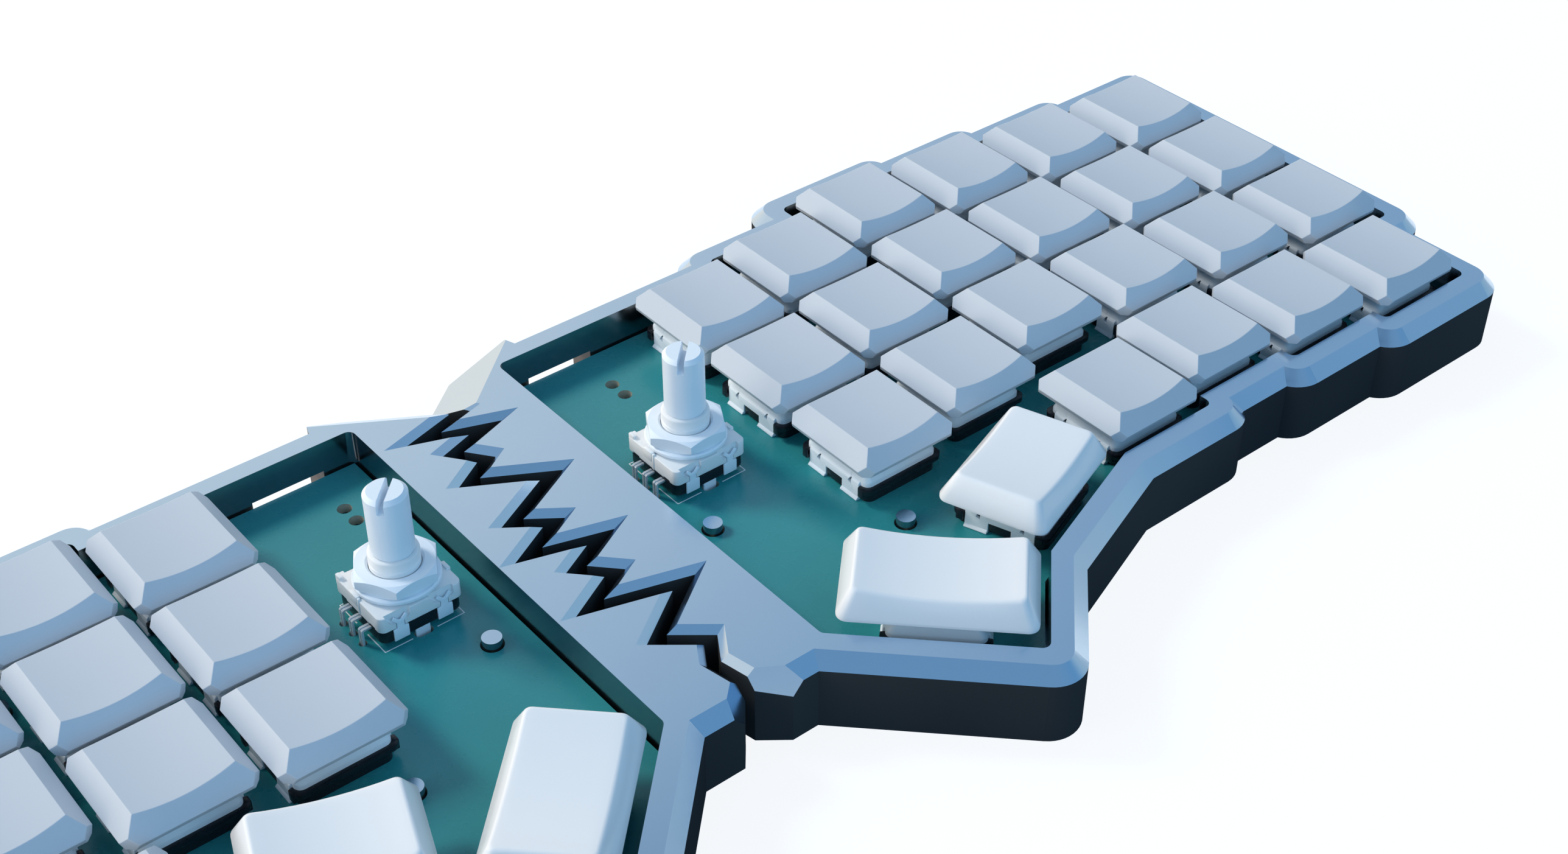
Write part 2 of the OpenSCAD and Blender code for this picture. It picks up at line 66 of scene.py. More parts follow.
shot = {
    "place": (-0.11864, -0.18383, 0.20116),
    "tilt": 52.261,      # degrees up from looking straight down
    "heading": -39.295,  # degrees, turned towards the right half
    "lens": 49.03,
    "sensor": 36.0,
    "clip": (0.01, 20.0),
}


def addThing(name, data):
    thing = bpy.data.objects.new(name, data)
    bpy.context.scene.collection.objects.link(thing)
    return thing


def setCamera():
    data = bpy.data.cameras.new("photoView")
    data.lens = shot["lens"]
    data.sensor_width = shot["sensor"]
    data.clip_start, data.clip_end = shot["clip"]
    camera = addThing("photoView", data)
    camera.location = shot["place"]
    camera.rotation_euler = (math.radians(shot["tilt"]), 0, math.radians(shot["heading"]))
    bpy.context.scene.camera = camera


studio = {
    # colours of the dome by height, from horizon 0 to zenith 1
    "front": ((0.08, (0.40, 0.50, 0.60)), (0.28, (0.12, 0.33, 0.58)), (0.62, (0.20, 0.37, 0.56)),
              (0.78, (0.22, 0.37, 0.54)), (0.90, (0.08, 0.15, 0.26)), (1.0, (0.05, 0.09, 0.15))),
    "rear": ((0.12, (1.15, 1.00, 0.85)), (0.42, (0.96, 0.92, 0.88)), (0.62, (0.82, 0.83, 0.83)),
             (0.72, (0.60, 0.69, 0.78)), (0.82, (0.08, 0.17, 0.28)), (1.0, (0.05, 0.09, 0.15))),
    "right": ((0.05, (0.45, 0.56, 0.66)), (0.38, (0.37, 0.54, 0.66)), (0.52, (0.48, 0.57, 0.67)),
              (0.68, (0.34, 0.49, 0.65)), (0.84, (0.08, 0.16, 0.27)), (1.0, (0.05, 0.09, 0.15))),
    # where the rear and right zones lie, and over which share of the turn they fade in
    "rearWay": (-0.4, 0.92), "rearFade": (0.0, 0.65),
    "rightWay": (0.99, 0.0), "rightFade": (0.55, 0.92),
    "fill": 1.0,
    "lamps": (  # name, from where, watts, size, colour; kept out of reflections
        ("keyLight", (-0.64, 1.26, 1.11), 18.8, 0.45, (1.0, 0.95, 0.86)),
        ("sidePanel", (-1.60, 0.40, 0.45), 9.0, 1.1, (1.0, 0.92, 0.79)),
        ("frontPanel", (-0.08, -1.45, 0.78), 6.3, 1.0, (0.33, 0.69, 1.0)),
    ),
    "floorHalf": 4.0, "floorDrop": 0.00005, "floorRoughness": 0.9,
    "floorColour": (0.15, 0.19, 0.22),
    "floorGlow": 0.885,  # brings the floor up to white for the eye and in reflections
}


def setWorld():
    world = bpy.data.worlds.new("studioDome")
    bpy.context.scene.world = world
    world.use_nodes = True
    tree = world.node_tree
    tree.nodes.clear()
    out = tree.nodes.new("ShaderNodeOutputWorld")
    back = tree.nodes.new("ShaderNodeBackground")
    where = tree.nodes.new("ShaderNodeTexCoord")
    split = tree.nodes.new("ShaderNodeSeparateXYZ")
    tree.links.new(where.outputs["Generated"], split.inputs[0])
    front, rear, right = (byHeight(tree, split.outputs["Z"], studio[zone]) for zone in ("front", "rear", "right"))
    behind, beside = (mapRange(tree, facing(tree, where, studio[zone + "Way"]), studio[zone + "Fade"],
                               kind="SMOOTHSTEP") for zone in ("rear", "right"))
    dome = mixColour(tree, beside, mixColour(tree, behind, front, rear), right)
    tree.links.new(dome, back.inputs["Color"])
    back.inputs["Strength"].default_value = studio["fill"]
    tree.links.new(back.outputs[0], out.inputs["Surface"])


def facing(tree, where, way):
    node = tree.nodes.new("ShaderNodeVectorMath")
    node.operation = "DOT_PRODUCT"
    node.inputs[1].default_value = (*way, 0)
    tree.links.new(where.outputs["Generated"], node.inputs[0])
    return node.outputs["Value"]


def byHeight(tree, height, bands):
    ramp = tree.nodes.new("ShaderNodeValToRGB")
    marks = ramp.color_ramp.elements
    while len(marks) < len(bands):
        marks.new(1)
    for mark, (place, colour) in zip(marks, bands):
        mark.position = place
        mark.color = (*colour, 1)
    tree.links.new(height, ramp.inputs["Fac"])
    return ramp.outputs["Color"]


def mapRange(tree, value, source, target=(0, 1), kind="LINEAR"):
    node = tree.nodes.new("ShaderNodeMapRange")
    node.interpolation_type = kind
    for socket, level in zip(("From Min", "From Max", "To Min", "To Max"), (*source, *target)):
        node.inputs[socket].default_value = level
    tree.links.new(value, node.inputs["Value"])
    return node.outputs[0]


def mixColour(tree, factor, a, b):
    node = tree.nodes.new("ShaderNodeMix")
    node.data_type = "RGBA"
    tree.links.new(factor, node.inputs[0])
    for value, socket in ((a, node.inputs[6]), (b, node.inputs[7])):
        if isinstance(value, tuple):
            socket.default_value = (*value, 1)
        else:
            tree.links.new(value, socket)
    return node.outputs[2]


def setLights():
    for name, place, watts, size, colour in studio["lamps"]:
        data = bpy.data.lights.new(name, "AREA")
        data.energy = watts
        data.size = size
        data.color = colour
        lamp = addThing(name, data)
        lamp.location = place
        lamp.visible_glossy = False
        lamp.rotation_euler = (-Vector(place)).to_track_quat("-Z", "Y").to_euler()


def layFloor():
    bm = bmesh.new()
    bmesh.ops.create_grid(bm, x_segments=1, y_segments=1, size=studio["floorHalf"])
    mesh = meshFrom("floor", bm)
    floor = addThing("floor", mesh)
    floor.location.z = cadLow.z - studio["floorDrop"]
    mat, tree, shader = newMaterial("paleFloor")
    shader.inputs["Base Color"].default_value = (*studio["floorColour"], 1)
    shader.inputs["Roughness"].default_value = studio["floorRoughness"]
    shader.inputs["Specular IOR Level"].default_value = 0
    shader.inputs["Emission Color"].default_value = (1, 1, 1, 1)
    path = tree.nodes.new("ShaderNodeLightPath")
    seen = path.outputs["Is Camera Ray"]
    for other in ("Is Glossy Ray", "Is Transmission Ray"):
        seen = arithmetic(tree, "ADD", seen, path.outputs[other])
    tree.links.new(arithmetic(tree, "MULTIPLY", seen, studio["floorGlow"]), shader.inputs["Emission Strength"])
    mesh.materials.append(mat)


def arithmetic(tree, kind, a, b):
    node = tree.nodes.new("ShaderNodeMath")
    node.operation = kind
    tree.links.new(a, node.inputs[0])
    if isinstance(b, float):
        node.inputs[1].default_value = b
    else:
        tree.links.new(b, node.inputs[1])
    return node.outputs[0]


# Finishes

def newMaterial(name):
    mat = bpy.data.materials.new(name)
    mat.use_nodes = True
    tree = mat.node_tree
    tree.nodes.clear()
    out = tree.nodes.new("ShaderNodeOutputMaterial")
    shader = tree.nodes.new("ShaderNodeBsdfPrincipled")
    tree.links.new(shader.outputs[0], out.inputs["Surface"])
    return mat, tree, shader


def grain(tree, scale, detail):
    where = tree.nodes.new("ShaderNodeTexCoord")
    noise = tree.nodes.new("ShaderNodeTexNoise")
    noise.inputs["Scale"].default_value = scale
    noise.inputs["Detail"].default_value = detail
    tree.links.new(where.outputs["Object"], noise.inputs["Vector"])
    return noise.outputs["Fac"]


plainLook = {  # what a finish has unless it says otherwise
    "cloudScale": 45, "cloudDetail": 2, "grainScale": 2600, "grainDetail": 4, "grainDepth": 0.00002,
    "noiseRange": (0.3, 0.7), "bump": 0.15, "metallic": 0.0, "specular": 0.5, "coat": 0.0, "coatRoughness": 0.1,
}


def finish(name, **own):
    look = {**plainLook, **own}
    mat, tree, shader = newMaterial(name)
    cloud = grain(tree, look["cloudScale"], look["cloudDetail"])
    fine = grain(tree, look["grainScale"], look["grainDetail"])
    tone = mixColour(tree, mapRange(tree, cloud, look["noiseRange"]), look["dark"], look["light"])
    tree.links.new(tone, shader.inputs["Base Color"])
    matt = mapRange(tree, fine, look["noiseRange"], look["roughness"])
    tree.links.new(matt, shader.inputs["Roughness"])
    bump = tree.nodes.new("ShaderNodeBump")
    bump.inputs["Strength"].default_value = look["bump"]
    bump.inputs["Distance"].default_value = look["grainDepth"]
    tree.links.new(fine, bump.inputs["Height"])
    tree.links.new(bump.outputs[0], shader.inputs["Normal"])
    for socket, value in (("Metallic", "metallic"), ("Specular IOR Level", "specular"), ("Coat Weight", "coat"),
                          ("Coat Roughness", "coatRoughness")):
        shader.inputs[socket].default_value = look[value]
    return mat


finishes = {
    "caseTop": finish("polishedBlueCase",
        dark=(0.54, 0.69, 0.84), light=(0.56, 0.71, 0.86), roughness=(0.17, 0.19),
        metallic=1.0, bump=0.0, grainScale=900),
    # painted shade: the outer walls get a near-black colour without specular, standing in for the dark reflection
    # the case metal shows there
    "caseSide": finish("darkCaseSide",
        dark=(0.026, 0.031, 0.038), light=(0.056, 0.057, 0.059), roughness=(0.22, 0.28),
        bump=0.01, specular=0.0, grainScale=900, cloudScale=18),
    # painted shade: a darker copy of the case metal for the walls inside the pocket
    "caseInside": finish("darkCaseInside",
        dark=(0.26, 0.30, 0.33), light=(0.30, 0.34, 0.37), roughness=(0.16, 0.22), metallic=1.0,
        bump=0.01, grainScale=900),
    # painted reflection: a matte brown on the cable window's end faces, standing in for the warm dark surroundings
    # the metal reflects there
    "caseCut": finish("sawnCaseMetal",
        dark=(0.115, 0.092, 0.082), light=(0.135, 0.108, 0.096), roughness=(0.45, 0.55), bump=0.02,
        grainScale=700),
    "board": finish("tealSolderMask",
        dark=(0.029, 0.285, 0.312), light=(0.032, 0.303, 0.328), roughness=(0.27, 0.28),
        bump=0.0, specular=0.4, grainScale=400, coat=0.15, coatRoughness=0.16),
    "boardEdge": finish("bareBoardEdge",
        dark=(0.34, 0.36, 0.30), light=(0.42, 0.44, 0.38), roughness=(0.6, 0.8), bump=0.3),
    "silk": finish("whiteLegendInk",
        dark=(0.88, 0.92, 0.94), light=(0.93, 0.95, 0.97), roughness=(0.5, 0.65)),
    "switchBlack": finish("blackSwitchBase",
        dark=(0.006, 0.007, 0.011), light=(0.010, 0.011, 0.016), roughness=(0.26, 0.36), bump=0.05),
    "switchWhite": finish("frostedSwitchCover",
        dark=(0.83, 0.91, 1.0), light=(0.86, 0.93, 1.0), roughness=(0.28, 0.34), bump=0.0),
    "stem": finish("darkStem",
        dark=(0.10, 0.11, 0.12), light=(0.14, 0.15, 0.16), roughness=(0.35, 0.5)),
    "capGrey": finish("matteGreyCap",
        dark=(0.566, 0.618, 0.690), light=(0.590, 0.638, 0.706), roughness=(0.44, 0.54),
        bump=0.03, grainScale=5200),
    "capWhite": finish("whiteThumbCap",
        dark=(0.84, 0.86, 0.89), light=(0.86, 0.88, 0.91), roughness=(0.22, 0.25), bump=0.0,
        grainScale=300),
    "encoderMetal": finish("paleZinc",
        dark=(0.83, 0.91, 1.0), light=(0.86, 0.93, 1.0), roughness=(0.30, 0.36), bump=0.0),
    "encoderFrame": finish("satinFrame",
        dark=(0.83, 0.85, 0.87), light=(0.87, 0.89, 0.90), roughness=(0.34, 0.42), bump=0.01),
    "shell": finish("tinnedShell",
        dark=(0.60, 0.65, 0.70), light=(0.66, 0.71, 0.76), roughness=(0.26, 0.36), metallic=0.3),
}
print("finishes made,", len(finishes))


# Mesh helpers, in millimetres

def roundRect(halfX, halfY, radius, perCorner=5, perSide=1):
    points = []
    corners = ((1, -1, -90, (0, 1)), (1, 1, 0, (-1, 0)), (-1, 1, 90, (0, -1)), (-1, -1, 180, (1, 0)))
    for sx, sy, start, way in corners:
        middle = Vector((sx * (halfX - radius), sy * (halfY - radius)))
        for k in range(perCorner + 1):
            a = math.radians(start + 90 * k / perCorner)
            points.append(middle + radius * Vector((math.cos(a), math.sin(a))))
        last = points[-1]
        side = 2 * Vector((way[0] * (halfX - radius), way[1] * (halfY - radius)))
        points += [last + side * k / perSide for k in range(1, perSide)]
    return points


def ringOf(bm, outline, height):
    return [bm.verts.new((p[0], p[1], height(p) if callable(height) else height)) for p in outline]


def joinRings(bm, a, b):
    count = len(a)
    for i in range(count):
        j = (i + 1) % count
        bm.faces.new((a[i], a[j], b[j], b[i]))


def loft(bm, rings, closed=False, caps=True):
    for a, b in zip(rings, rings[1:]):
        joinRings(bm, a, b)
    if closed:
        joinRings(bm, rings[-1], rings[0])
    elif caps:
        bm.faces.new(rings[-1])
        bm.faces.new(rings[0][::-1])


def stack(bm, levels, closed=False):
    loft(bm, [ringOf(bm, outline, z) for outline, z in levels], closed)


def turned(bm, profile, steps=64, at=(0, 0)):
    angles = [2 * math.pi * k / steps for k in range(steps)]
    return [[bm.verts.new((at[0] + radius * math.cos(t), at[1] + radius * math.sin(t), z)) for t in angles]
            for radius, z in profile]


def block(bm, corner, opposite, turn=None):
    corner, opposite = Vector(corner), Vector(opposite)
    size = (abs(s) for s in opposite - corner)
    place = Matrix.Translation((corner + opposite) / 2) @ Matrix.Diagonal((*size, 1))
    if turn is not None:
        place = turn.to_4x4() @ place
    bmesh.ops.create_cube(bm, size=1, matrix=place)


def soften(bm, width, segments=2, least=25):
    bmesh.ops.recalc_face_normals(bm, faces=bm.faces)
    bm.normal_update()
    sharp = [e for e in bm.edges if len(e.link_faces) == 2 and e.calc_face_angle(0) > math.radians(least)]
    bmesh.ops.bevel(bm, geom=sharp, offset=width, segments=segments, profile=0.5, affect="EDGES",
                    clamp_overlap=True)


def meshFrom(name, bm):
    mesh = bpy.data.meshes.new(name)
    bm.to_mesh(mesh)
    bm.free()
    return mesh


def addMesh(bm, other):
    mesh = meshFrom("added", other)
    bm.from_mesh(mesh)
    bpy.data.meshes.remove(mesh)


def template(name, bm, least=30):
    bmesh.ops.recalc_face_normals(bm, faces=bm.faces)
    mesh = meshFrom(name, bm)
    mesh.transform(Matrix.Scale(mm, 4))
    smooth(mesh, least)
    return addThing(name, mesh)


def smooth(mesh, least=30):
    if "custom_normal" in mesh.attributes:
        mesh.attributes.remove(mesh.attributes["custom_normal"])
    mesh.shade_smooth()
    mesh.set_sharp_from_angle(angle=math.radians(least))


def carve(piece, cutter):
    modifier = piece.modifiers.new("carve", "BOOLEAN")
    modifier.operation = "DIFFERENCE"
    modifier.solver = "EXACT"
    modifier.object = cutter
    settle(piece)
    discard(cutter)
    smooth(piece.data)


def discard(*pieces):
    for piece in pieces:
        bpy.data.objects.remove(piece)


def settle(piece):
    graph = bpy.context.evaluated_depsgraph_get()
    mesh = bpy.data.meshes.new_from_object(piece.evaluated_get(graph))
    piece.modifiers.clear()
    old = piece.data
    piece.data = mesh
    bpy.data.meshes.remove(old)


# Node trees: one sets copies of a piece out on places, the printed lines have their own

def newTree(name, inputs, output):
    tree = bpy.data.node_groups.new(name, "GeometryNodeTree")
    for socket, kind in inputs:
        tree.interface.new_socket(socket, in_out="INPUT", socket_type="NodeSocket" + kind)
    tree.interface.new_socket(output, in_out="OUTPUT", socket_type="NodeSocketGeometry")
    return tree, tree.nodes.new("NodeGroupInput"), tree.nodes.new("NodeGroupOutput")


def layoutTree(name, count):
    inputs = [("Places", "Geometry")]
    for k in range(count):
        inputs += [(f"Piece {k + 1}", "Object"), (f"Finish {k + 1}", "Material")]
    tree, enter, leave = newTree(name, inputs, "Pieces")
    link = tree.links.new
    turn = tree.nodes.new("GeometryNodeInputNamedAttribute")
    turn.data_type = "FLOAT"
    turn.inputs["Name"].default_value = "turn"
    spin = tree.nodes.new("ShaderNodeCombineXYZ")
    link(turn.outputs["Attribute"], spin.inputs["Z"])
    join = tree.nodes.new("GeometryNodeJoinGeometry")
    for k in range(count):
        info = tree.nodes.new("GeometryNodeObjectInfo")
        info.inputs["As Instance"].default_value = True
        copies = tree.nodes.new("GeometryNodeInstanceOnPoints")
        real = tree.nodes.new("GeometryNodeRealizeInstances")
        paint = tree.nodes.new("GeometryNodeSetMaterial")
        link(enter.outputs[f"Piece {k + 1}"], info.inputs["Object"])
        link(enter.outputs["Places"], copies.inputs["Points"])
        link(info.outputs["Geometry"], copies.inputs["Instance"])
        link(spin.outputs[0], copies.inputs["Rotation"])
        link(copies.outputs[0], real.inputs[0])
        link(real.outputs[0], paint.inputs["Geometry"])
        link(enter.outputs[f"Finish {k + 1}"], paint.inputs["Material"])
        link(paint.outputs[0], join.inputs[0])
    link(join.outputs[0], leave.inputs["Pieces"])
    return tree


def dropEmptySlots(mesh):
    kept = [m for m in mesh.materials if m]
    slots = [kept.index(m) if m else 0 for m in mesh.materials]
    indices = [slots[p.material_index] for p in mesh.polygons]
    mesh.materials.clear()
    for m in kept:
        mesh.materials.append(m)
    mesh.polygons.foreach_set("material_index", indices)


def applyTree(holder, tree, values):
    modifier = holder.modifiers.new(tree.name, "NODES")
    modifier.node_group = tree
    for item in tree.interface.items_tree:
        if item.in_out == "INPUT" and item.name in values:
            modifier[item.identifier] = values[item.name]
    settle(holder)
    dropEmptySlots(holder.data)


layouts = {}


def layOut(name, parts, places):
    count = len(parts)
    if count not in layouts:
        layouts[count] = layoutTree(f"setOut{count}", count)
    points = bpy.data.meshes.new(name + "Places")
    points.from_pydata([p[:3] for p in places], [], [])
    turn = points.attributes.new("turn", "FLOAT", "POINT")
    turn.data.foreach_set("value", [p[3] for p in places])
    made = addThing(name, points)
    wanted = {}
    for k, (piece, paint) in enumerate(parts):
        wanted[f"Piece {k + 1}"] = piece
        wanted[f"Finish {k + 1}"] = paint
    applyTree(made, layouts[count], wanted)
    made.data.name = name
    return made


# Keys

greyCap = {
    "half": 9.0, "foot": 8.58, "flat": 6.6, "bottom": 6.35, "rim": 7.25, "top": 10.0,
    "cut": 1.75, "dish": 0.6, "steps": 18, "edge": 0.05, "hollow": 7.3, "ceiling": 8.35,
}


def makeGreyCap():
    c = greyCap
    bm = bmesh.new()
    slope = (c["half"] - c["flat"]) / (c["top"] - c["rim"])
    radius = (c["flat"] ** 2 + c["dish"] ** 2) / (2 * c["dish"])
    reach = 2 * c["half"] - c["cut"]  # corner plane: x + y
    near = c["half"] - c["cut"]
    tip = reach / 2
    tipZ = c["rim"] + (c["half"] - tip) / slope
    low = reach - c["foot"]

    def dishZ(x):
        return c["top"] - c["dish"] + radius - math.sqrt(radius * radius - x * x)

    def corner(x, y, z):
        return {(sx, sy): bm.verts.new((sx * x, sy * y, z)) for sx, sy in quarters}

    rimX, rimY = corner(c["half"], near, c["rim"]), corner(near, c["half"], c["rim"])
    footX, footY = corner(c["foot"], low, c["bottom"]), corner(low, c["foot"], c["bottom"])
    tips = corner(tip, tip, tipZ)
    rows = {}
    for sy in (-1, 1):
        row = []
        for k in range(c["steps"] + 1):
            x = c["flat"] * (2 * k / c["steps"] - 1)
            z = dishZ(x)
            row.append(bm.verts.new((x, sy * (c["flat"] + (c["top"] - z) * slope), z)))
        rows[sy] = row
    for a, b, d, e in zip(rows[-1], rows[-1][1:], rows[1][1:], rows[1]):
        bm.faces.new((a, b, d, e))
    for sy in (-1, 1):
        bm.faces.new([rimY[-1, sy], rimY[1, sy], tips[1, sy], *rows[sy][::-1], tips[-1, sy]])
        bm.faces.new([footY[-1, sy], footY[1, sy], rimY[1, sy], rimY[-1, sy]])
    for sx, k in ((-1, 0), (1, -1)):
        bm.faces.new([rimX[sx, -1], rimX[sx, 1], tips[sx, 1], rows[1][k], rows[-1][k], tips[sx, -1]])
        bm.faces.new([footX[sx, -1], footX[sx, 1], rimX[sx, 1], rimX[sx, -1]])
    for s in quarters:
        bm.faces.new([rimX[s], tips[s], rimY[s], footY[s], footX[s]])
    hollow = c["hollow"]
    inner = corner(hollow, hollow, c["bottom"])
    roof = corner(hollow, hollow, c["ceiling"])
    loop = ((1, -1), (1, 1), (-1, 1), (-1, -1))
    for s, t in zip(loop, loop[1:] + loop[:1]):
        bm.faces.new([inner[s], inner[t], roof[t], roof[s]])
        foot = footX if s[0] == t[0] else footY
        bm.faces.new([inner[s], inner[t], foot[t], foot[s]])
        bm.faces.new([inner[s], footX[s], footY[s]])
    bm.faces.new([roof[s] for s in loop])
    soften(bm, c["edge"], segments=1, least=20)
    return template("greyCapForm", bm, least=12)


thumbCap = {
    "depth": 16.5, "bottom": 6.35, "lip": 0.5, "top": 10.5, "inset": 1.9, "cornerRadius": 1.6,
    "cornerShrink": 0.35, "cornerLeast": 0.35, "fillet": 0.45, "shoulder": 0.86, "filletSteps": 5,
    "roofRings": 6, "ridge": 0.5, "wall": 1.3, "innerCorner": 0.8, "ceiling": 8.35, "perCorner": 6, "perSide": 10,
    "dish": {"outer": 0.9, "inner": 1.1}, "length": {"outer": 22.0, "inner": 26.5},
    "turn": {"outer": 20.0, "inner": -45.0},
}


def makeThumbCap(which):
    c = thumbCap
    halfX, halfY = c["length"][which] / 2, c["depth"] / 2
    span = halfX - c["inset"]
    dish = c["dish"][which]
    radius = (span * span + dish * dish) / (2 * dish)
    foot = c["bottom"] + c["lip"]
    bm = bmesh.new()

    def outline(inset, corner):
        return roundRect(halfX - inset, halfY - inset, corner, c["perCorner"], c["perSide"])

    def outside(inset):
        return outline(inset, max(c["cornerRadius"] - c["cornerShrink"] * inset, c["cornerLeast"]))

    def dishZ(p):
        x = max(-span, min(span, p[0]))
        return c["top"] - dish + radius - math.sqrt(radius * radius - x * x)

    rings = [ringOf(bm, outside(0.0), z) for z in (c["bottom"], foot)]
    start = c["inset"] + c["fillet"]
    for k in range(c["filletSteps"] + 1):  # rounded shoulder between the leaning side and the dish
        t = k / c["filletSteps"]
        a, b = (1 - t) ** 2, t ** 2
        inset = a * (c["inset"] * c["shoulder"]) + (1 - a - b) * c["inset"] + b * start
        drop = a * (1 - c["shoulder"])
        rings.append(ringOf(bm, outside(inset), lambda p: dishZ(p) - drop * (dishZ(p) - foot)))
    deepest = halfY - c["ridge"]
    for k in range(1, c["roofRings"] + 1):
        inset = start + (deepest - start) * k / c["roofRings"]
        rings.append(ringOf(bm, outside(inset), dishZ))
    loft(bm, rings, caps=False)
    middle = bm.faces.new(rings[-1])
    bmesh.ops.triangulate(bm, faces=[middle])
    inner, roof = (ringOf(bm, outline(c["wall"], c["innerCorner"]), z) for z in (c["bottom"], c["ceiling"]))
    joinRings(bm, inner, rings[0])
    joinRings(bm, roof, inner)
    bm.faces.new(roof)
    return template(which + "ThumbCapForm", bm, least=50)


stemForm = {
    "bottom": 3.5, "collar": 4.1, "top": 8.3, "collarHalf": (4.8, 4.0), "half": (3.5, 2.6), "corner": 0.4,
}


def makeStem():
    c = stemForm
    bm = bmesh.new()
    collar, neck = (roundRect(*half, c["corner"], 3) for half in (c["collarHalf"], c["half"]))
    stack(bm, ((collar, c["bottom"]), (collar, c["collar"]), (neck, c["collar"]), (neck, c["top"])))
    return template("stemForm", bm)


def keyTurn(node):
    if "thumb" not in node:
        return 0.0
    which = "inner" if "inner" in node else "outer"
    return math.radians(thumbCap["turn"][which])


def middleOf(node):
    low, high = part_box(node)
    return (low.x + high.x) / 2, (low.y + high.y) / 2


def keyPlace(node):
    sign = 1 if node.startswith("right") else -1
    return (*middleOf(node), boardTop, sign * keyTurn(node))


def camel(node):
    first, *rest = node.split("_")
    return first + "".join(w.capitalize() for w in rest)


def setKeys():
    caps = {"grey": makeGreyCap(), "outer": makeThumbCap("outer"), "inner": makeThumbCap("inner")}
    stem = makeStem()
    keyNodes = [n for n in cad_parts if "_key_" in n]
    for node in sorted(keyNodes):
        which = node.rsplit("_", 1)[1] if "thumb" in node else "grey"
        paint = finishes["capWhite" if "thumb" in node else "capGrey"]
        key = layOut(camel(node), [(caps[which], paint), (stem, finishes["stem"])], [keyPlace(node)])
        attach(key, node.replace("_key_", "_"))
        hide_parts(node)
        "cap_white" if "thumb" in node else "cap_grey"
    discard(*caps.values(), stem)
    print("keys set,", len(keyNodes))
    return sorted(keyNodes)


# Key switches

switchForm = {
    "flangeHalf": 7.4, "flangeLow": 1.75, "flangeTop": 2.6, "sideHalf": 6.55, "hook": 5.55,
    "bodyHalf": (6.58, 6.95), "gap": 0.02, "frame": 6.0, "straight": (5.3, 5.2), "well": 5.6, "wellFloor": 0.4,
    "wellCorner": 0.5, "corner": 1.2, "edge": 0.13, "panelRoot": 0.3, "panelHalf": 1.62, "panelReach": 7.05,
    "panelLow": 0.3, "panelTop": 1.75, "hookRoot": 0.2, "hookLow": 1.0, "hookLong": 1.15, "hookProud": 0.06,
    "hookAbove": 0.05, "hookEdge": 0.16, "postRadius": 1.7, "postDepth": 2.7, "pegRadius": 0.9, "pegDepth": 1.9,
    "pegPlace": 5.5, "postTip": 0.8, "postLead": 0.3, "postTop": 0.05, "postSteps": 20,
}


def notched(half, corner, notch):
    points = roundRect(half, half, corner)
    count = len(points) // 4
    turns = [points[k * count:(k + 1) * count] for k in range(4)]
    return [*turns[0], *notch, *turns[1], *turns[2], *((-x, -y) for x, y in notch), *turns[3]]


def makeSwitchBase():
    c = switchForm
    bm = bmesh.new()
    body = roundRect(*c["bodyHalf"], c["corner"])
    well = roundRect(c["well"], c["well"], c["wellCorner"])
    top = c["flangeTop"] - c["gap"]
    stack(bm, ((body, c["gap"]), (body, top), (well, top), (well, c["wellFloor"])))
    wide, hook, side, rim = c["flangeHalf"], c["hook"], c["sideHalf"], c["frame"]
    outline = notched(wide, c["corner"], ((wide, -hook), (side, -hook), (side, hook), (wide, hook)))
    # The flange is a frame, open over the well so that the stem passes
    far, near = c["straight"]
    opening = notched(rim, c["wellCorner"], ((rim, -far), (rim, -near), (rim, near), (rim, far)))
    flange = bmesh.new()
    levels = ((opening, c["flangeLow"]), (outline, c["flangeLow"]), (outline, c["flangeTop"]),
              (opening, c["flangeTop"]))
    stack(flange, levels, closed=True)
    soften(flange, c["edge"], least=40)
    hooks = bmesh.new()
    for s in (-1, 1):
        block(hooks, (s * (side - c["panelRoot"]), -c["panelHalf"], c["panelLow"]),
              (s * c["panelReach"], c["panelHalf"], c["panelTop"]))
        for t in (-1, 1):
            block(hooks, (s * (side - c["hookRoot"]), t * hook, c["hookLow"]),
                  (s * (wide + c["hookProud"]), t * (hook + c["hookLong"]), c["flangeTop"] + c["hookAbove"]))
    soften(hooks, c["hookEdge"])
    addMesh(flange, hooks)
    peg = (c["pegRadius"], c["pegDepth"])
    for x, (r, depth) in ((0, (c["postRadius"], c["postDepth"])), (-c["pegPlace"], peg), (c["pegPlace"], peg)):
        profile = [(r * c["postTip"], -depth), (r, c["postLead"] - depth), (r, c["postTop"])]
        loft(flange, turned(flange, profile, c["postSteps"], (x, 0)))
    addMesh(bm, flange)
    return template("switchBaseForm", bm)


coverForm = {
    "half": 6.75, "low": 2.62, "shoulder": 3.25, "shoulderRound": (0.06, 0.15), "topHalf": 5.85, "top": 5.0,
    "topRound": (0.1, 0.18), "corner": 1.1, "hole": (3.8, 2.9), "holeCorner": 0.3, "inside": (5.5, 5.5),
    "insideCorner": 0.8, "ceiling": 4.2, "legInner": 6.62, "legOuter": 7.12, "legFrom": 1.75, "legTo": 5.4,
    "legLow": 0.05, "legTop": 3.3, "legBevel": 0.35, "skirtLow": 1.8, "foot": 7.5, "footLow": 0.06, "footTip": 0.22,
    "footTop": 0.65, "footRoot": 0.1, "footGap": 0.02, "edge": 0.06, "groove": 0.42, "grooveHalf": 2.2,
    "grooveLean": 27.0, "grooveAt": (6.72, 4.1), "windowAt": 3.4, "windowHalf": 0.36, "windowLow": 2.0,
    # corners of a window: share of its half width, height above its lower end
    "window": ((-1, 0.0), (1, 0.3), (0.5, 0.7), (-0.3, 1.15), (-1, 1.15)), "windowDeep": (5.9, 8.0),
}


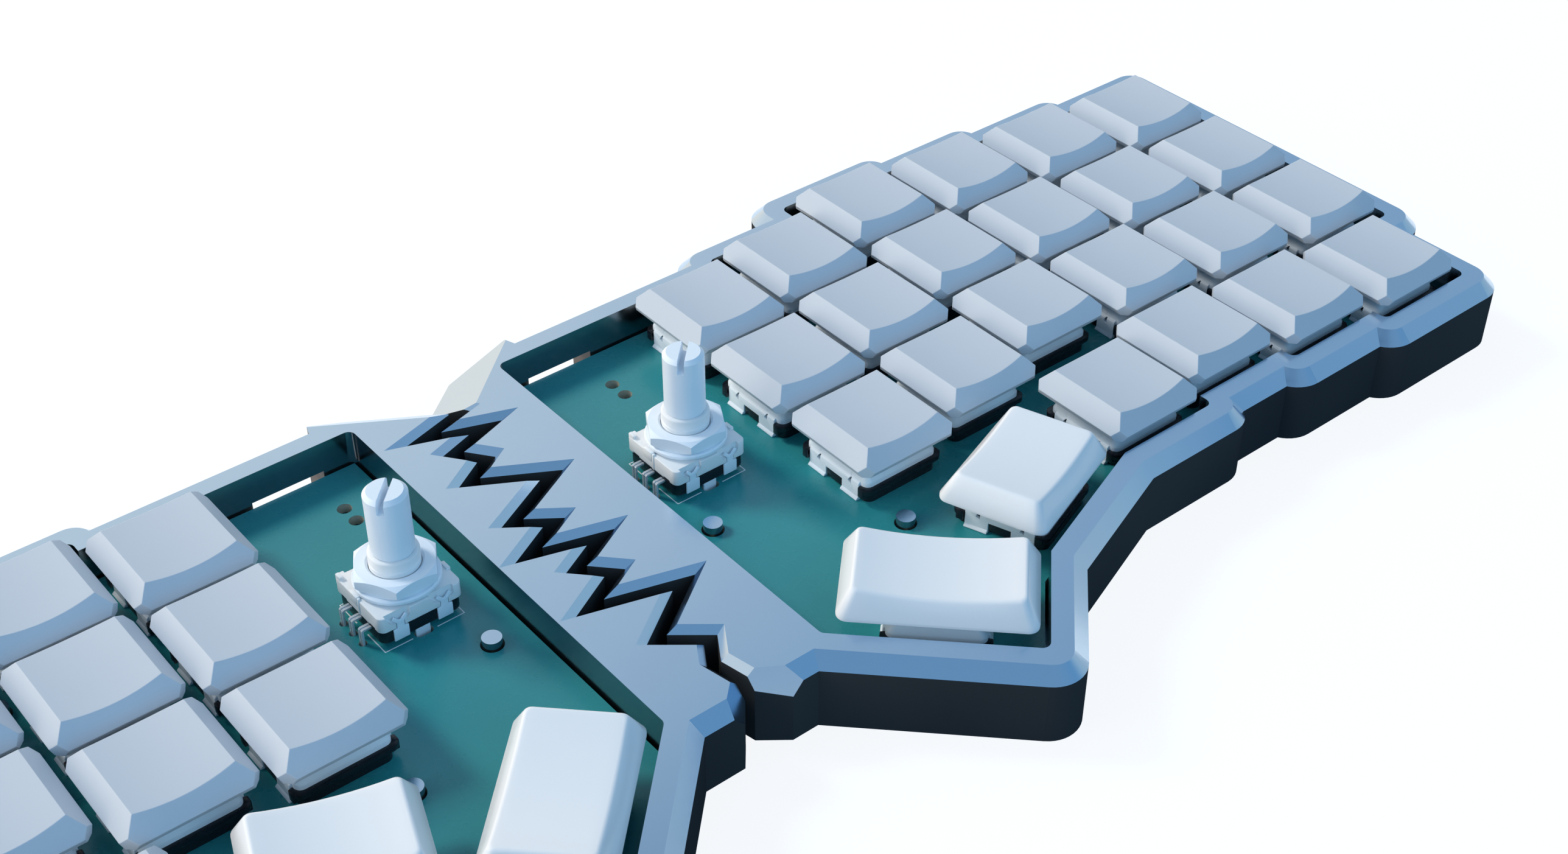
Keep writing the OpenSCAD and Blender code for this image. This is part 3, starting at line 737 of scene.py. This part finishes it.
def makeSwitchCover():
    c = coverForm
    bm = bmesh.new()
    r, half, top = c["corner"], c["half"], c["topHalf"]
    (inward, up), (bevel, down) = c["shoulderRound"], c["topRound"]
    levels = (((half, half), r, c["low"]), ((half, half), r, c["shoulder"]),
              ((half - inward, half - inward), r, c["shoulder"] + up),
              ((top + bevel, top + bevel), r - bevel, c["top"] - down),
              ((top - bevel, top - bevel), r - 2 * bevel, c["top"]),
              (c["hole"], c["holeCorner"], c["top"]), (c["hole"], c["holeCorner"], c["ceiling"]),
              (c["inside"], c["insideCorner"], c["ceiling"]), (c["inside"], c["insideCorner"], c["low"]))
    loft(bm, [ringOf(bm, roundRect(*size, k, perSide=2), z) for size, k, z in levels], closed=True)
    shell = template("switchCoverForm", bm)
    legs, feet, cuts, grooves = (bmesh.new() for _ in range(4))
    a, b, skirt, low = c["legFrom"], c["legTo"], c["skirtLow"], c["legLow"]
    root = c["legOuter"] - c["footRoot"]
    foot = [(root, c["footLow"]), (c["foot"], c["footLow"]), (c["foot"], c["footTip"]), (root, c["footTop"])]
    for sx in (-1, 1):
        rings = []
        for x, top in ((c["legInner"], c["legTop"]), (c["legOuter"] - c["legBevel"], c["legTop"]),
                       (c["legOuter"], c["legTop"] - c["legBevel"])):
            outline = [(-b, top), (-b, low), (-a, low), (-a, skirt), (a, skirt), (a, low), (b, low), (b, top)]
            rings.append([legs.verts.new((sx * x, y, z)) for y, z in outline])
        loft(legs, rings)
    for sx, sy in quarters:
        ends = (a + c["footGap"], b - c["footGap"])
        loft(feet, [[feet.verts.new((sx * x, sy * y, z)) for x, z in foot] for y in ends])
        window = [(sy * c["windowAt"] + c["windowHalf"] * u, c["windowLow"] + v) for u, v in c["window"]]
        loft(cuts, [[cuts.verts.new((sx * x, y, z)) for y, z in window] for x in c["windowDeep"]])
        rings = turned(grooves, [(c["groove"], -c["grooveHalf"]), (c["groove"], c["grooveHalf"])], 14)
        loft(grooves, rings)
        x, z = c["grooveAt"]
        lean = Matrix.Rotation(math.radians(-c["grooveLean"] * sx), 4, "Y")
        bmesh.ops.transform(grooves, matrix=Matrix.Translation((sx * x, sy * c["windowAt"], z)) @ lean,
                            verts=[v for ring in rings for v in ring])
    for form in (legs, feet):
        soften(form, c["edge"], segments=1, least=30)
    legPiece, footPiece = template("coverLegs", legs), template("coverFeet", feet)
    windows = template("windowCuts", cuts)
    second = addThing("windowCutsAgain", windows.data)
    carve(legPiece, windows)
    carve(shell, second)
    carve(shell, template("grooveCuts", grooves))
    joinMeshes(shell, legPiece, footPiece)
    return shell


def joinMeshes(piece, *others):
    bm = bmesh.new()
    bm.from_mesh(piece.data)
    for other in others:
        bm.from_mesh(other.data)
    discard(*others)
    bm.to_mesh(piece.data)
    bm.free()
    smooth(piece.data)


def setSwitches(keyNodes):
    base, cover = makeSwitchBase(), makeSwitchCover()
    for side in sides:
        places = [keyPlace(n) for n in keyNodes if n.startswith(side)]
        for form, node, paint, slot in ((base, "switch_bases", "switchBlack", "switch_black"),
                                        (cover, "switch_covers", "switchWhite", "switch_white")):
            piece = layOut(camel(f"{side}_{node}"), [(form, finishes[paint])], places)
            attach(piece, side + "_half")
            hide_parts(f"{side}_{node}")
    discard(base, cover)
    print("switches set")


# Rotary encoders

encoderForm = {
    "baseHalf": (6.15, 5.7), "baseLow": 1.0, "baseTop": 3.05, "baseCorner": 1.2, "baseFloor": 1.5, "baseEdge": 0.14,
    "footPlace": (4.2, 3.4), "footRadius": 0.8, "footEnds": (0.03, 1.2), "frameHalf": (6.35, 5.95),
    "frameLow": 3.1, "frameTop": 5.6, "frameCorner": 1.0, "frameEdge": 0.16, "well": 4.4, "wellTop": 5.1,
    "boss": 5.2, "bossTop": 5.95, "boreRoom": 0.5, "flat": 0.05,
    # crimp tabs, and what the frame has for them
    "tabPlaces": (-3.35, 3.35), "tabDeep": (5.74, 6.02), "tabNotch": 4.3, "tabEdge": 0.06,
    "tab": ((1.15, 1.05), (1.15, 2.98), (0.58, 3.08), (0.55, 3.95), (1.2, 4.75), (0.85, 5.08), (0.22, 4.42)),
    "recess": ((-2.1, 7.0), (-2.1, 5.05), (-1.2, 3.95)), "recessTop": 7.0, "recessDeep": (5.35, 7.0),
    "scoop": (0.65, 4.85, 0.9), "scoopSteps": 5, "neckHalf": 0.66, "neckDeep": (5.5, 7.0), "neckEnds": (2.5, 4.4),
    "lugHalf": 1.1, "lugPlace": (5.1, 5.5), "lugEnds": (-2.2, 1.3),
    "stepUp": ((-7.0, 2.9, 2.5), (-6.12, 4.4, 3.45)),  # the lower edge steps up beside the terminals
    "stops": (((-6.5, -0.35, 4.4), (-5.8, 1.55, 5.95)), ((-6.46, -0.78, 3.12), (-6.0, -0.32, 5.85)),
              ((5.9, -2.8, 4.5), (6.54, -1.1, 5.85)), ((-6.3, 4.2, 4.5), (-5.7, 5.45, 6.15))), "stopEdge": 0.12,
    "terminalRows": (-2.5, 0.0, 2.5), "terminalBack": -7.4,
    "terminalBend": ((-6.0, 2.58), (-7.43, 2.58), (-7.68, 2.38), (-7.68, -2.15), (-7.36, -2.15), (-7.36, 2.18),
                     (-7.26, 2.26), (-6.0, 2.26)),
    "terminalStrips": ((-0.48, -0.12, 0.0), (0.12, 0.48, 0.0), (-0.13, 0.13, 0.1)),  # from, to, sunk by
    "washerRadius": 6.0, "washerLow": 5.96, "washerTop": 6.66, "washerBore": 3.6, "washerEdges": (0.12, 0.14, 0.2),
    "nutRadius": 6.25, "nutLow": 6.7, "nutTop": 8.82, "nutCone": 5.4, "nutSlope": 30.0, "nutBore": 3.58,
    "nutMouth": (3.95, 0.35), "nutSteps": 72, "bushing": 3.5, "bushingLow": 5.3, "bushingTop": 10.9,
    "bushingTip": ((0.0, 0.35), (0.08, 0.12), (0.25, 0.0)), "bore": 2.86, "threadFrom": 6.6, "threadRoom": 0.85,
    "threadPitch": 0.62, "threadDepth": 0.2, "threadShape": ((0.2, 0), (0.5, 1), (0.8, 0)),
}


def roundish(half, perCorner):
    return roundRect(half, half, half - encoderForm["flat"], perCorner)


def makeEncoderBase():
    c = encoderForm
    bm = bmesh.new()
    outline, well = roundRect(*c["baseHalf"], c["baseCorner"], 6), roundish(c["well"], 6)
    levels = ((outline, c["baseLow"]), (outline, c["baseTop"]), (well, c["baseTop"]), (well, c["baseFloor"]))
    stack(bm, levels)
    soften(bm, c["baseEdge"], least=50)
    for sx, sy in quarters:
        at = (sx * c["footPlace"][0], sy * c["footPlace"][1])
        loft(bm, turned(bm, [(c["footRadius"], z) for z in c["footEnds"]], 16, at))
    return template("encoderBaseForm", bm)


def crimpRecess(x):
    c = encoderForm
    across, up, r = c["scoop"]
    turns = [math.pi / 2 * k / c["scoopSteps"] for k in range(c["scoopSteps"] + 1)]
    scoop = [(across + r * math.sin(t), up - r * math.cos(t)) for t in turns]
    return [(x + px, z) for px, z in (*c["recess"], *scoop, (across + r, c["recessTop"]))]


def makeEncoderFrame():
    c = encoderForm
    bm = bmesh.new()
    outline = roundRect(*c["frameHalf"], c["frameCorner"], 8)
    boss, hole, well = (roundish(half, 8) for half in (c["boss"], c["bore"] + c["boreRoom"], c["well"]))
    levels = ((outline, c["frameLow"]), (outline, c["frameTop"]), (boss, c["frameTop"]), (boss, c["bossTop"]),
              (hole, c["bossTop"]), (hole, c["wellTop"]), (well, c["wellTop"]), (well, c["frameLow"]))
    stack(bm, levels, closed=True)
    soften(bm, c["frameEdge"], segments=3, least=50)
    piece = template("encoderFrameForm", bm)
    cuts, slots, stops = (bmesh.new() for _ in range(3))
    for s in (-1, 1):
        for x in c["tabPlaces"]:  # recess for a crimp tab's arms, and a slot for its neck
            recess = [(s * px, z) for px, z in crimpRecess(x)]
            loft(cuts, [[cuts.verts.new((px, -s * y, z)) for px, z in recess] for y in c["recessDeep"]])
            ends = zip((x - c["neckHalf"], x + c["neckHalf"]), c["neckDeep"], c["neckEnds"])
            block(slots, *((px, s * y, z) for px, y, z in ends))
        block(slots, *((px, s * y, z) for px, y, z in c["stepUp"]))
    carve(piece, template("crimpRecesses", cuts))
    carve(piece, template("neckSlots", slots))
    for corner, opposite in c["stops"]:
        block(stops, corner, opposite)
    soften(stops, c["stopEdge"])
    joinMeshes(piece, template("frameStops", stops))
    return piece


def makeCrimpTabs():
    c = encoderForm
    bm = bmesh.new()
    outline = [*c["tab"], (0, c["tabNotch"]), *((-x, z) for x, z in reversed(c["tab"]))]
    for s in (-1, 1):
        for x in c["tabPlaces"]:
            loft(bm, [[bm.verts.new((x + px, s * y, z)) for px, z in outline] for y in c["tabDeep"]])
        ends = zip((-c["lugHalf"], c["lugHalf"]), c["lugPlace"], c["lugEnds"])
        block(bm, *((px, s * y, z) for px, y, z in ends))
    soften(bm, c["tabEdge"], least=20)
    return template("crimpTabForm", bm)


def makeTerminal():
    c = encoderForm
    bm = bmesh.new()
    top = c["terminalBend"][0][1]
    for low, high, sunk in c["terminalStrips"]:
        outline = [(x + sunk * (x < c["terminalBack"]), z - sunk * (z == top)) for x, z in c["terminalBend"]]
        loft(bm, [[bm.verts.new((x, y, z)) for x, z in outline] for y in (low, high)])
    return template("terminalForm", bm)


def makeWasher():
    c = encoderForm
    bm = bmesh.new()
    r, bore, low, top = c["washerRadius"], c["washerBore"], c["washerLow"], c["washerTop"]
    inward, up, bevel = c["washerEdges"]
    profile = [(bore, low), (r - inward, low), (r, low + up), (r, top - bevel), (r - bevel, top), (bore, top)]
    loft(bm, turned(bm, profile), closed=True)
    return template("washerForm", bm)


def makeNut():
    c = encoderForm
    bm = bmesh.new()
    low, top, bore, cone = c["nutLow"], c["nutTop"], c["nutBore"], c["nutCone"]
    mouth, deep = c["nutMouth"]
    sixth = math.pi / 6
    columns = []
    for k in range(c["nutSteps"]):
        t = 2 * math.pi * k / c["nutSteps"]
        away = (t + sixth) % (2 * sixth) - sixth
        flat = c["nutRadius"] * math.cos(sixth) / math.cos(sixth - abs(away))
        drop = max(0.0, flat - cone) * math.tan(math.radians(c["nutSlope"]))
        profile = ((bore, low), (cone, low), (flat, low + drop), (flat, top - drop), (cone, top), (mouth, top),
                   (bore, top - deep))
        columns.append([bm.verts.new((radius * math.cos(t), radius * math.sin(t), z)) for radius, z in profile])
    loft(bm, list(zip(*columns)), closed=True)
    return template("nutForm", bm, least=20)


def makeBushing():
    c = encoderForm
    bm = bmesh.new()
    r, top, step, z = c["bushing"], c["bushingTop"], c["threadPitch"], c["threadFrom"]
    profile = [(c["bore"], c["bushingLow"]), (r, c["bushingLow"]), (r, z)]
    while z + step < top - c["threadRoom"]:
        profile += [(r - c["threadDepth"] * deep, z + step * share) for share, deep in c["threadShape"]]
        z += step
    profile += [*((r - inward, top - down) for inward, down in c["bushingTip"]), (c["bore"], top)]
    loft(bm, turned(bm, profile), closed=True)
    return template("bushingForm", bm, least=40)


shaftForm = {"radius": 3.0, "top": 20.8, "shoulder": 11.15, "journal": 2.8, "collar": 4.0, "collarTop": 4.8,
             "bottom": 1.8, "chamfer": 0.55, "edge": 0.08, "slotHalf": 0.5, "slotDepth": 2.0, "slotReach": 6.0,
             "slotAbove": 2.0, "slotTurn": 45.0}


def makeShaft():
    c = shaftForm
    bm = bmesh.new()
    r, top, bevel, edge = c["radius"], c["top"], c["chamfer"], c["edge"]
    profile = [(c["collar"], c["bottom"]), (c["collar"], c["collarTop"]), (c["journal"], c["collarTop"]),
               (c["journal"], c["shoulder"]), (r - edge, c["shoulder"]), (r, c["shoulder"] + edge),
               (r, top - bevel), (r - bevel, top)]
    loft(bm, turned(bm, profile, 96))
    piece = template("shaftForm", bm)
    cut = bmesh.new()
    turn = Matrix.Rotation(math.radians(c["slotTurn"]), 3, "Z")
    reach, half = c["slotReach"], c["slotHalf"]
    block(cut, (-reach, -half, top - c["slotDepth"]), (reach, half, top + c["slotAbove"]), turn)
    carve(piece, template("slotCut", cut))
    return piece


def setEncoders():
    forms = {"base": makeEncoderBase(), "frame": makeEncoderFrame(), "tabs": makeCrimpTabs(),
             "washer": makeWasher(), "nut": makeNut(), "bushing": makeBushing()}
    paints = {"base": "switchBlack", "frame": "encoderFrame", "bushing": "encoderFrame"}
    terminal, shaft = makeTerminal(), makeShaft()
    for side in sides:
        place = (*middleOf(side + "_encoder_shaft"), boardTop, 0.0)
        for part, form in forms.items():
            paint = finishes[paints.get(part, "encoderMetal")]
            piece = layOut(f"{side}Encoder{part.capitalize()}", [(form, paint)], [place])
            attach(piece, side + "_half")
            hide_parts(side + "_encoder_body")
        rows = [(place[0], place[1] + y * mm, place[2], 0.0) for y in encoderForm["terminalRows"]]
        pins = layOut(f"{side}EncoderTerminals", [(terminal, finishes["shell"])], rows)
        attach(pins, side + "_half")
        turnedShaft = layOut(f"{side}EncoderShaft", [(shaft, finishes["encoderMetal"])], [place])
        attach(turnedShaft, side + "_shaft")
        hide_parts(side + "_encoder_shaft")
    discard(*forms.values(), terminal, shaft)
    print("encoders set")


# Cases and boards, from the frame's own solids

caseForm = {
    "paints": ("caseTop", "caseSide", "caseInside", "caseCut"),
    "wallSlope": 0.25,   # upright faces, which get painted shade: less of their normal than this points up
    "insideAbove": 1.0,  # walls that end above this height are inside the pocket and get the darker painted-shade metal
    "jambs": (17.0, 30.0), "jambsFrom": 42.0, "jambSlope": 0.9,  # cut faces of the cable window, which get a brown painted reflection
    "flush": 0.02, "smooth": 22,
}


def solidCopy(node):
    bm = bmesh.new()
    bm.from_mesh(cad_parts[node].data)
    bmesh.ops.remove_doubles(bm, verts=bm.verts, dist=mm / 1000)
    return bm


def groups(items, neighbours):
    left = set(items)
    while left:
        group, queue = [], [left.pop()]
        while queue:
            item = queue.pop()
            group.append(item)
            for other in neighbours(item) & left:
                left.remove(other)
                queue.append(other)
        yield group


def lowestEnds(bm):
    lowest = {f: min(v.co.z for v in f.verts) for f in bm.faces}
    flush = [e.link_faces for e in bm.edges
             if len(e.link_faces) == 2 and e.calc_face_angle(1) < caseForm["flush"]]
    changed = True
    while changed:  # triangles of one flat wall share its lower end
        changed = False
        for a, b in flush:
            if lowest[a] != lowest[b]:
                lowest[a] = lowest[b] = min(lowest[a], lowest[b])
                changed = True
    return lowest


def casePaint(f, lowest):
    c = caseForm
    middle, (near, far) = f.calc_center_median() / mm, c["jambs"]
    # the cable window's end faces get a brown painted reflection
    if near < abs(middle.x) < far and middle.y > c["jambsFrom"] and abs(f.normal.x) > c["jambSlope"]:
        return "caseCut"
    if abs(f.normal.z) >= c["wallSlope"]:
        return "caseTop"
    # upright walls get painted shade: a darker copy of the case metal inside the pocket, near-black outside
    return "caseInside" if lowest > c["insideAbove"] * mm else "caseSide"


def setCases():
    paints = caseForm["paints"]
    for side in sides:
        bm = solidCopy(side + "_case")
        bm.normal_update()
        lowest = lowestEnds(bm)
        for f in bm.faces:
            f.material_index = paints.index(casePaint(f, lowest[f]))
        mesh = meshFrom(side + "Case", bm)
        for paint in paints:
            mesh.materials.append(finishes[paint])
        smooth(mesh, caseForm["smooth"])
        case = addThing(side + "Case", mesh)
        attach(case, side + "_half")
        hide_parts(side + "_case")
    print("cases set")


boardForm = {
    "edgeGrowth": 0.7,  # brings the board close to the pocket's walls
    "wallSlope": 0.5, "leastMitre": 0.5, "thick": 1.6,
}


def growEdge(bm, growth):
    walls = {f for f in bm.faces if abs(f.normal.z) < boardForm["wallSlope"]}
    rings = groups(walls, lambda f: {g for e in f.edges for g in e.link_faces})
    outer = max(rings, key=lambda ring: sum(f.calc_area() for f in ring))
    ways = {}
    for f in outer:
        for v in f.verts:
            ways.setdefault(v, []).append(f.normal.copy())
    for v, normals in ways.items():
        first = normals[0]
        last = max(normals, key=lambda n: n.angle(first))
        middle = (first + last).normalized()
        v.co += middle * growth / max(middle.dot(first), boardForm["leastMitre"])


def setBoards():
    for side in sides:
        bm = solidCopy(side + "_circuit_board")
        solids = list(groups(bm.verts, lambda v: {e.other_vert(v) for e in v.link_edges}))
        widest = max(solids, key=lambda g: max(v.co.x for v in g) - min(v.co.x for v in g))
        bmesh.ops.delete(bm, geom=[v for g in solids if g is not widest for v in g], context="VERTS")
        bm.normal_update()
        growEdge(bm, boardForm["edgeGrowth"] * mm)
        for f in bm.faces:
            f.material_index = 1 if abs(f.normal.z) < boardForm["wallSlope"] else 0
        mesh = meshFrom(side + "Board", bm)
        for paint in ("board", "boardEdge"):
            mesh.materials.append(finishes[paint])
        smooth(mesh)
        board = addThing(side + "Board", mesh)
        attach(board, side + "_half")
        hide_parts(side + "_circuit_board")
    print("boards set")


# Small things on the boards

socketForm = {
    "half": (4.5, 1.3), "corner": 1.15, "deep": 7.0, "shell": 0.3, "back": 0.8, "tongue": (3.3, 0.34),
    "tongueEnds": (0.7, 5.6), "edge": 0.1, "middle": 23.55, "front": 36.217, "height": 3.1,
}


def makeSocket():
    c = socketForm
    hx, hy = c["half"]
    w = c["shell"]
    outer = roundRect(hx, hy, c["corner"], 6)
    inner = roundRect(hx - w, hy - w, c["corner"] - w, 6)
    shell, tongue = bmesh.new(), bmesh.new()
    levels = ((outer, 0), (outer, c["deep"]), (inner, c["deep"]), (inner, c["back"]))
    stack(shell, levels)
    (tx, ty), (back, tip) = c["tongue"], c["tongueEnds"]
    block(tongue, (-tx, -ty, back), (tx, ty, tip))
    soften(tongue, c["edge"])
    upright = Matrix(((1, 0, 0, 0), (0, 0, 1, 0), (0, 1, 0, 0), (0, 0, 0, 1)))
    for bm in (shell, tongue):
        bmesh.ops.transform(bm, matrix=upright, verts=bm.verts)
    return template("socketShell", shell), template("socketTongue", tongue)


chipForm = {
    "half": 3.88, "low": -1.25, "high": -0.05, "edge": 0.15, "leads": 9, "pitch": 0.8, "leadHalf": 0.17,
    "leadLong": 0.5, "leadThick": 0.22, "leadFrom": 3.5, "middle": 26.0, "rowY": 30.792,
}


def makeChip():
    c = chipForm
    body, lead = bmesh.new(), bmesh.new()
    block(body, (-c["half"], -c["half"], c["low"]), (c["half"], c["half"], c["high"]))
    soften(body, c["edge"], segments=1)
    block(lead, (-c["leadHalf"], 0, c["high"] - c["leadThick"]), (c["leadHalf"], c["leadLong"], c["high"]))
    return template("chipBody", body), template("chipLead", lead)


def setBoardParts():
    socket, tongue = makeSocket()
    chip, lead = makeChip()
    s, c = socketForm, chipForm
    under = boardTop - boardForm["thick"] * mm
    for side, sign in sides.items():
        parts = [(socket, finishes["shell"]), (tongue, finishes["switchBlack"])]
        place = (sign * s["middle"] * mm, s["front"] * mm, s["height"] * mm, 0.0)
        connector = layOut(side + "CableSocket", parts, [place])
        x, y = sign * c["middle"] * mm, c["rowY"] * mm
        body = layOut(side + "Controller", [(chip, finishes["switchBlack"])], [(x, y, under, 0.0)])
        rows = []
        for turn in (quarter * math.pi / 2 for quarter in range(4)):
            for k in range(c["leads"]):
                spot = Vector(((k - (c["leads"] - 1) / 2) * c["pitch"], c["leadFrom"], 0)) * mm
                spot.rotate(Matrix.Rotation(turn, 3, "Z"))
                rows.append((x + spot.x, y + spot.y, under, turn))
        leads = layOut(side + "ControllerLeads", [(lead, finishes["shell"])], rows)
        for piece, slot in ((connector, "encoder_metal"), (body, "switch_black"), (leads, "encoder_metal")):
            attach(piece, side + "_half")
    discard(socket, tongue, chip, lead)
    print("board parts set")


silkLines = {
    "width": 0.2, "height": 0.016,
    "runs": (
        ((-6.1, -1.4), (-6.1, -5.9), (-1.9, -5.9)), ((1.9, -5.9), (6.1, -5.9), (6.1, -4.5)),
        ((-6.1, 1.4), (-6.1, 5.9), (-1.9, 5.9)), ((1.9, 5.9), (6.1, 5.9), (6.1, 4.5)),
    ),
}


def strokeTree():
    inputs = (("Path", "Geometry"), ("Width", "Float"), ("Height", "Float"), ("Finish", "Material"))
    tree, enter, leave = newTree("drawnLine", inputs, "Line")
    link = tree.links.new
    curve = tree.nodes.new("GeometryNodeMeshToCurve")
    section = tree.nodes.new("GeometryNodeCurvePrimitiveQuadrilateral")
    sweep = tree.nodes.new("GeometryNodeCurveToMesh")
    sweep.inputs["Fill Caps"].default_value = True
    upright = tree.nodes.new("GeometryNodeSetCurveNormal")
    upright.mode = "Z_UP"
    paint = tree.nodes.new("GeometryNodeSetMaterial")
    link(enter.outputs["Path"], curve.inputs[0])
    link(curve.outputs[0], upright.inputs[0])
    link(enter.outputs["Width"], section.inputs["Width"])
    link(enter.outputs["Height"], section.inputs["Height"])
    link(upright.outputs[0], sweep.inputs["Curve"])
    link(section.outputs[0], sweep.inputs["Profile Curve"])
    link(sweep.outputs[0], paint.inputs["Geometry"])
    link(enter.outputs["Finish"], paint.inputs["Material"])
    link(paint.outputs[0], leave.inputs["Line"])
    return tree


def setSilk():
    tree = strokeTree()
    width, height = silkLines["width"] * mm, silkLines["height"] * mm
    for side in sides:
        middle = Vector((*middleOf(side + "_encoder_shaft"), boardTop + height / 2))
        verts, edges = [], []
        for run in silkLines["runs"]:
            edges += [(len(verts) + k, len(verts) + k + 1) for k in range(len(run) - 1)]
            verts += [middle + Vector((x * mm, y * mm, 0)) for x, y in run]
        path = bpy.data.meshes.new(side + "SilkPath")
        path.from_pydata(verts, edges, [])
        lines = addThing(side + "SilkLines", path)
        applyTree(lines, tree, {"Width": width, "Height": height, "Finish": finishes["silk"]})
        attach(lines, side + "_half")
    print("silk lines drawn")


setCamera()
setWorld()
setLights()
layFloor()
keyNodes = setKeys()
setSwitches(keyNodes)
setEncoders()
setCases()
setBoards()
setBoardParts()
setSilk()

bpy.context.scene.view_settings.view_transform = "Standard"
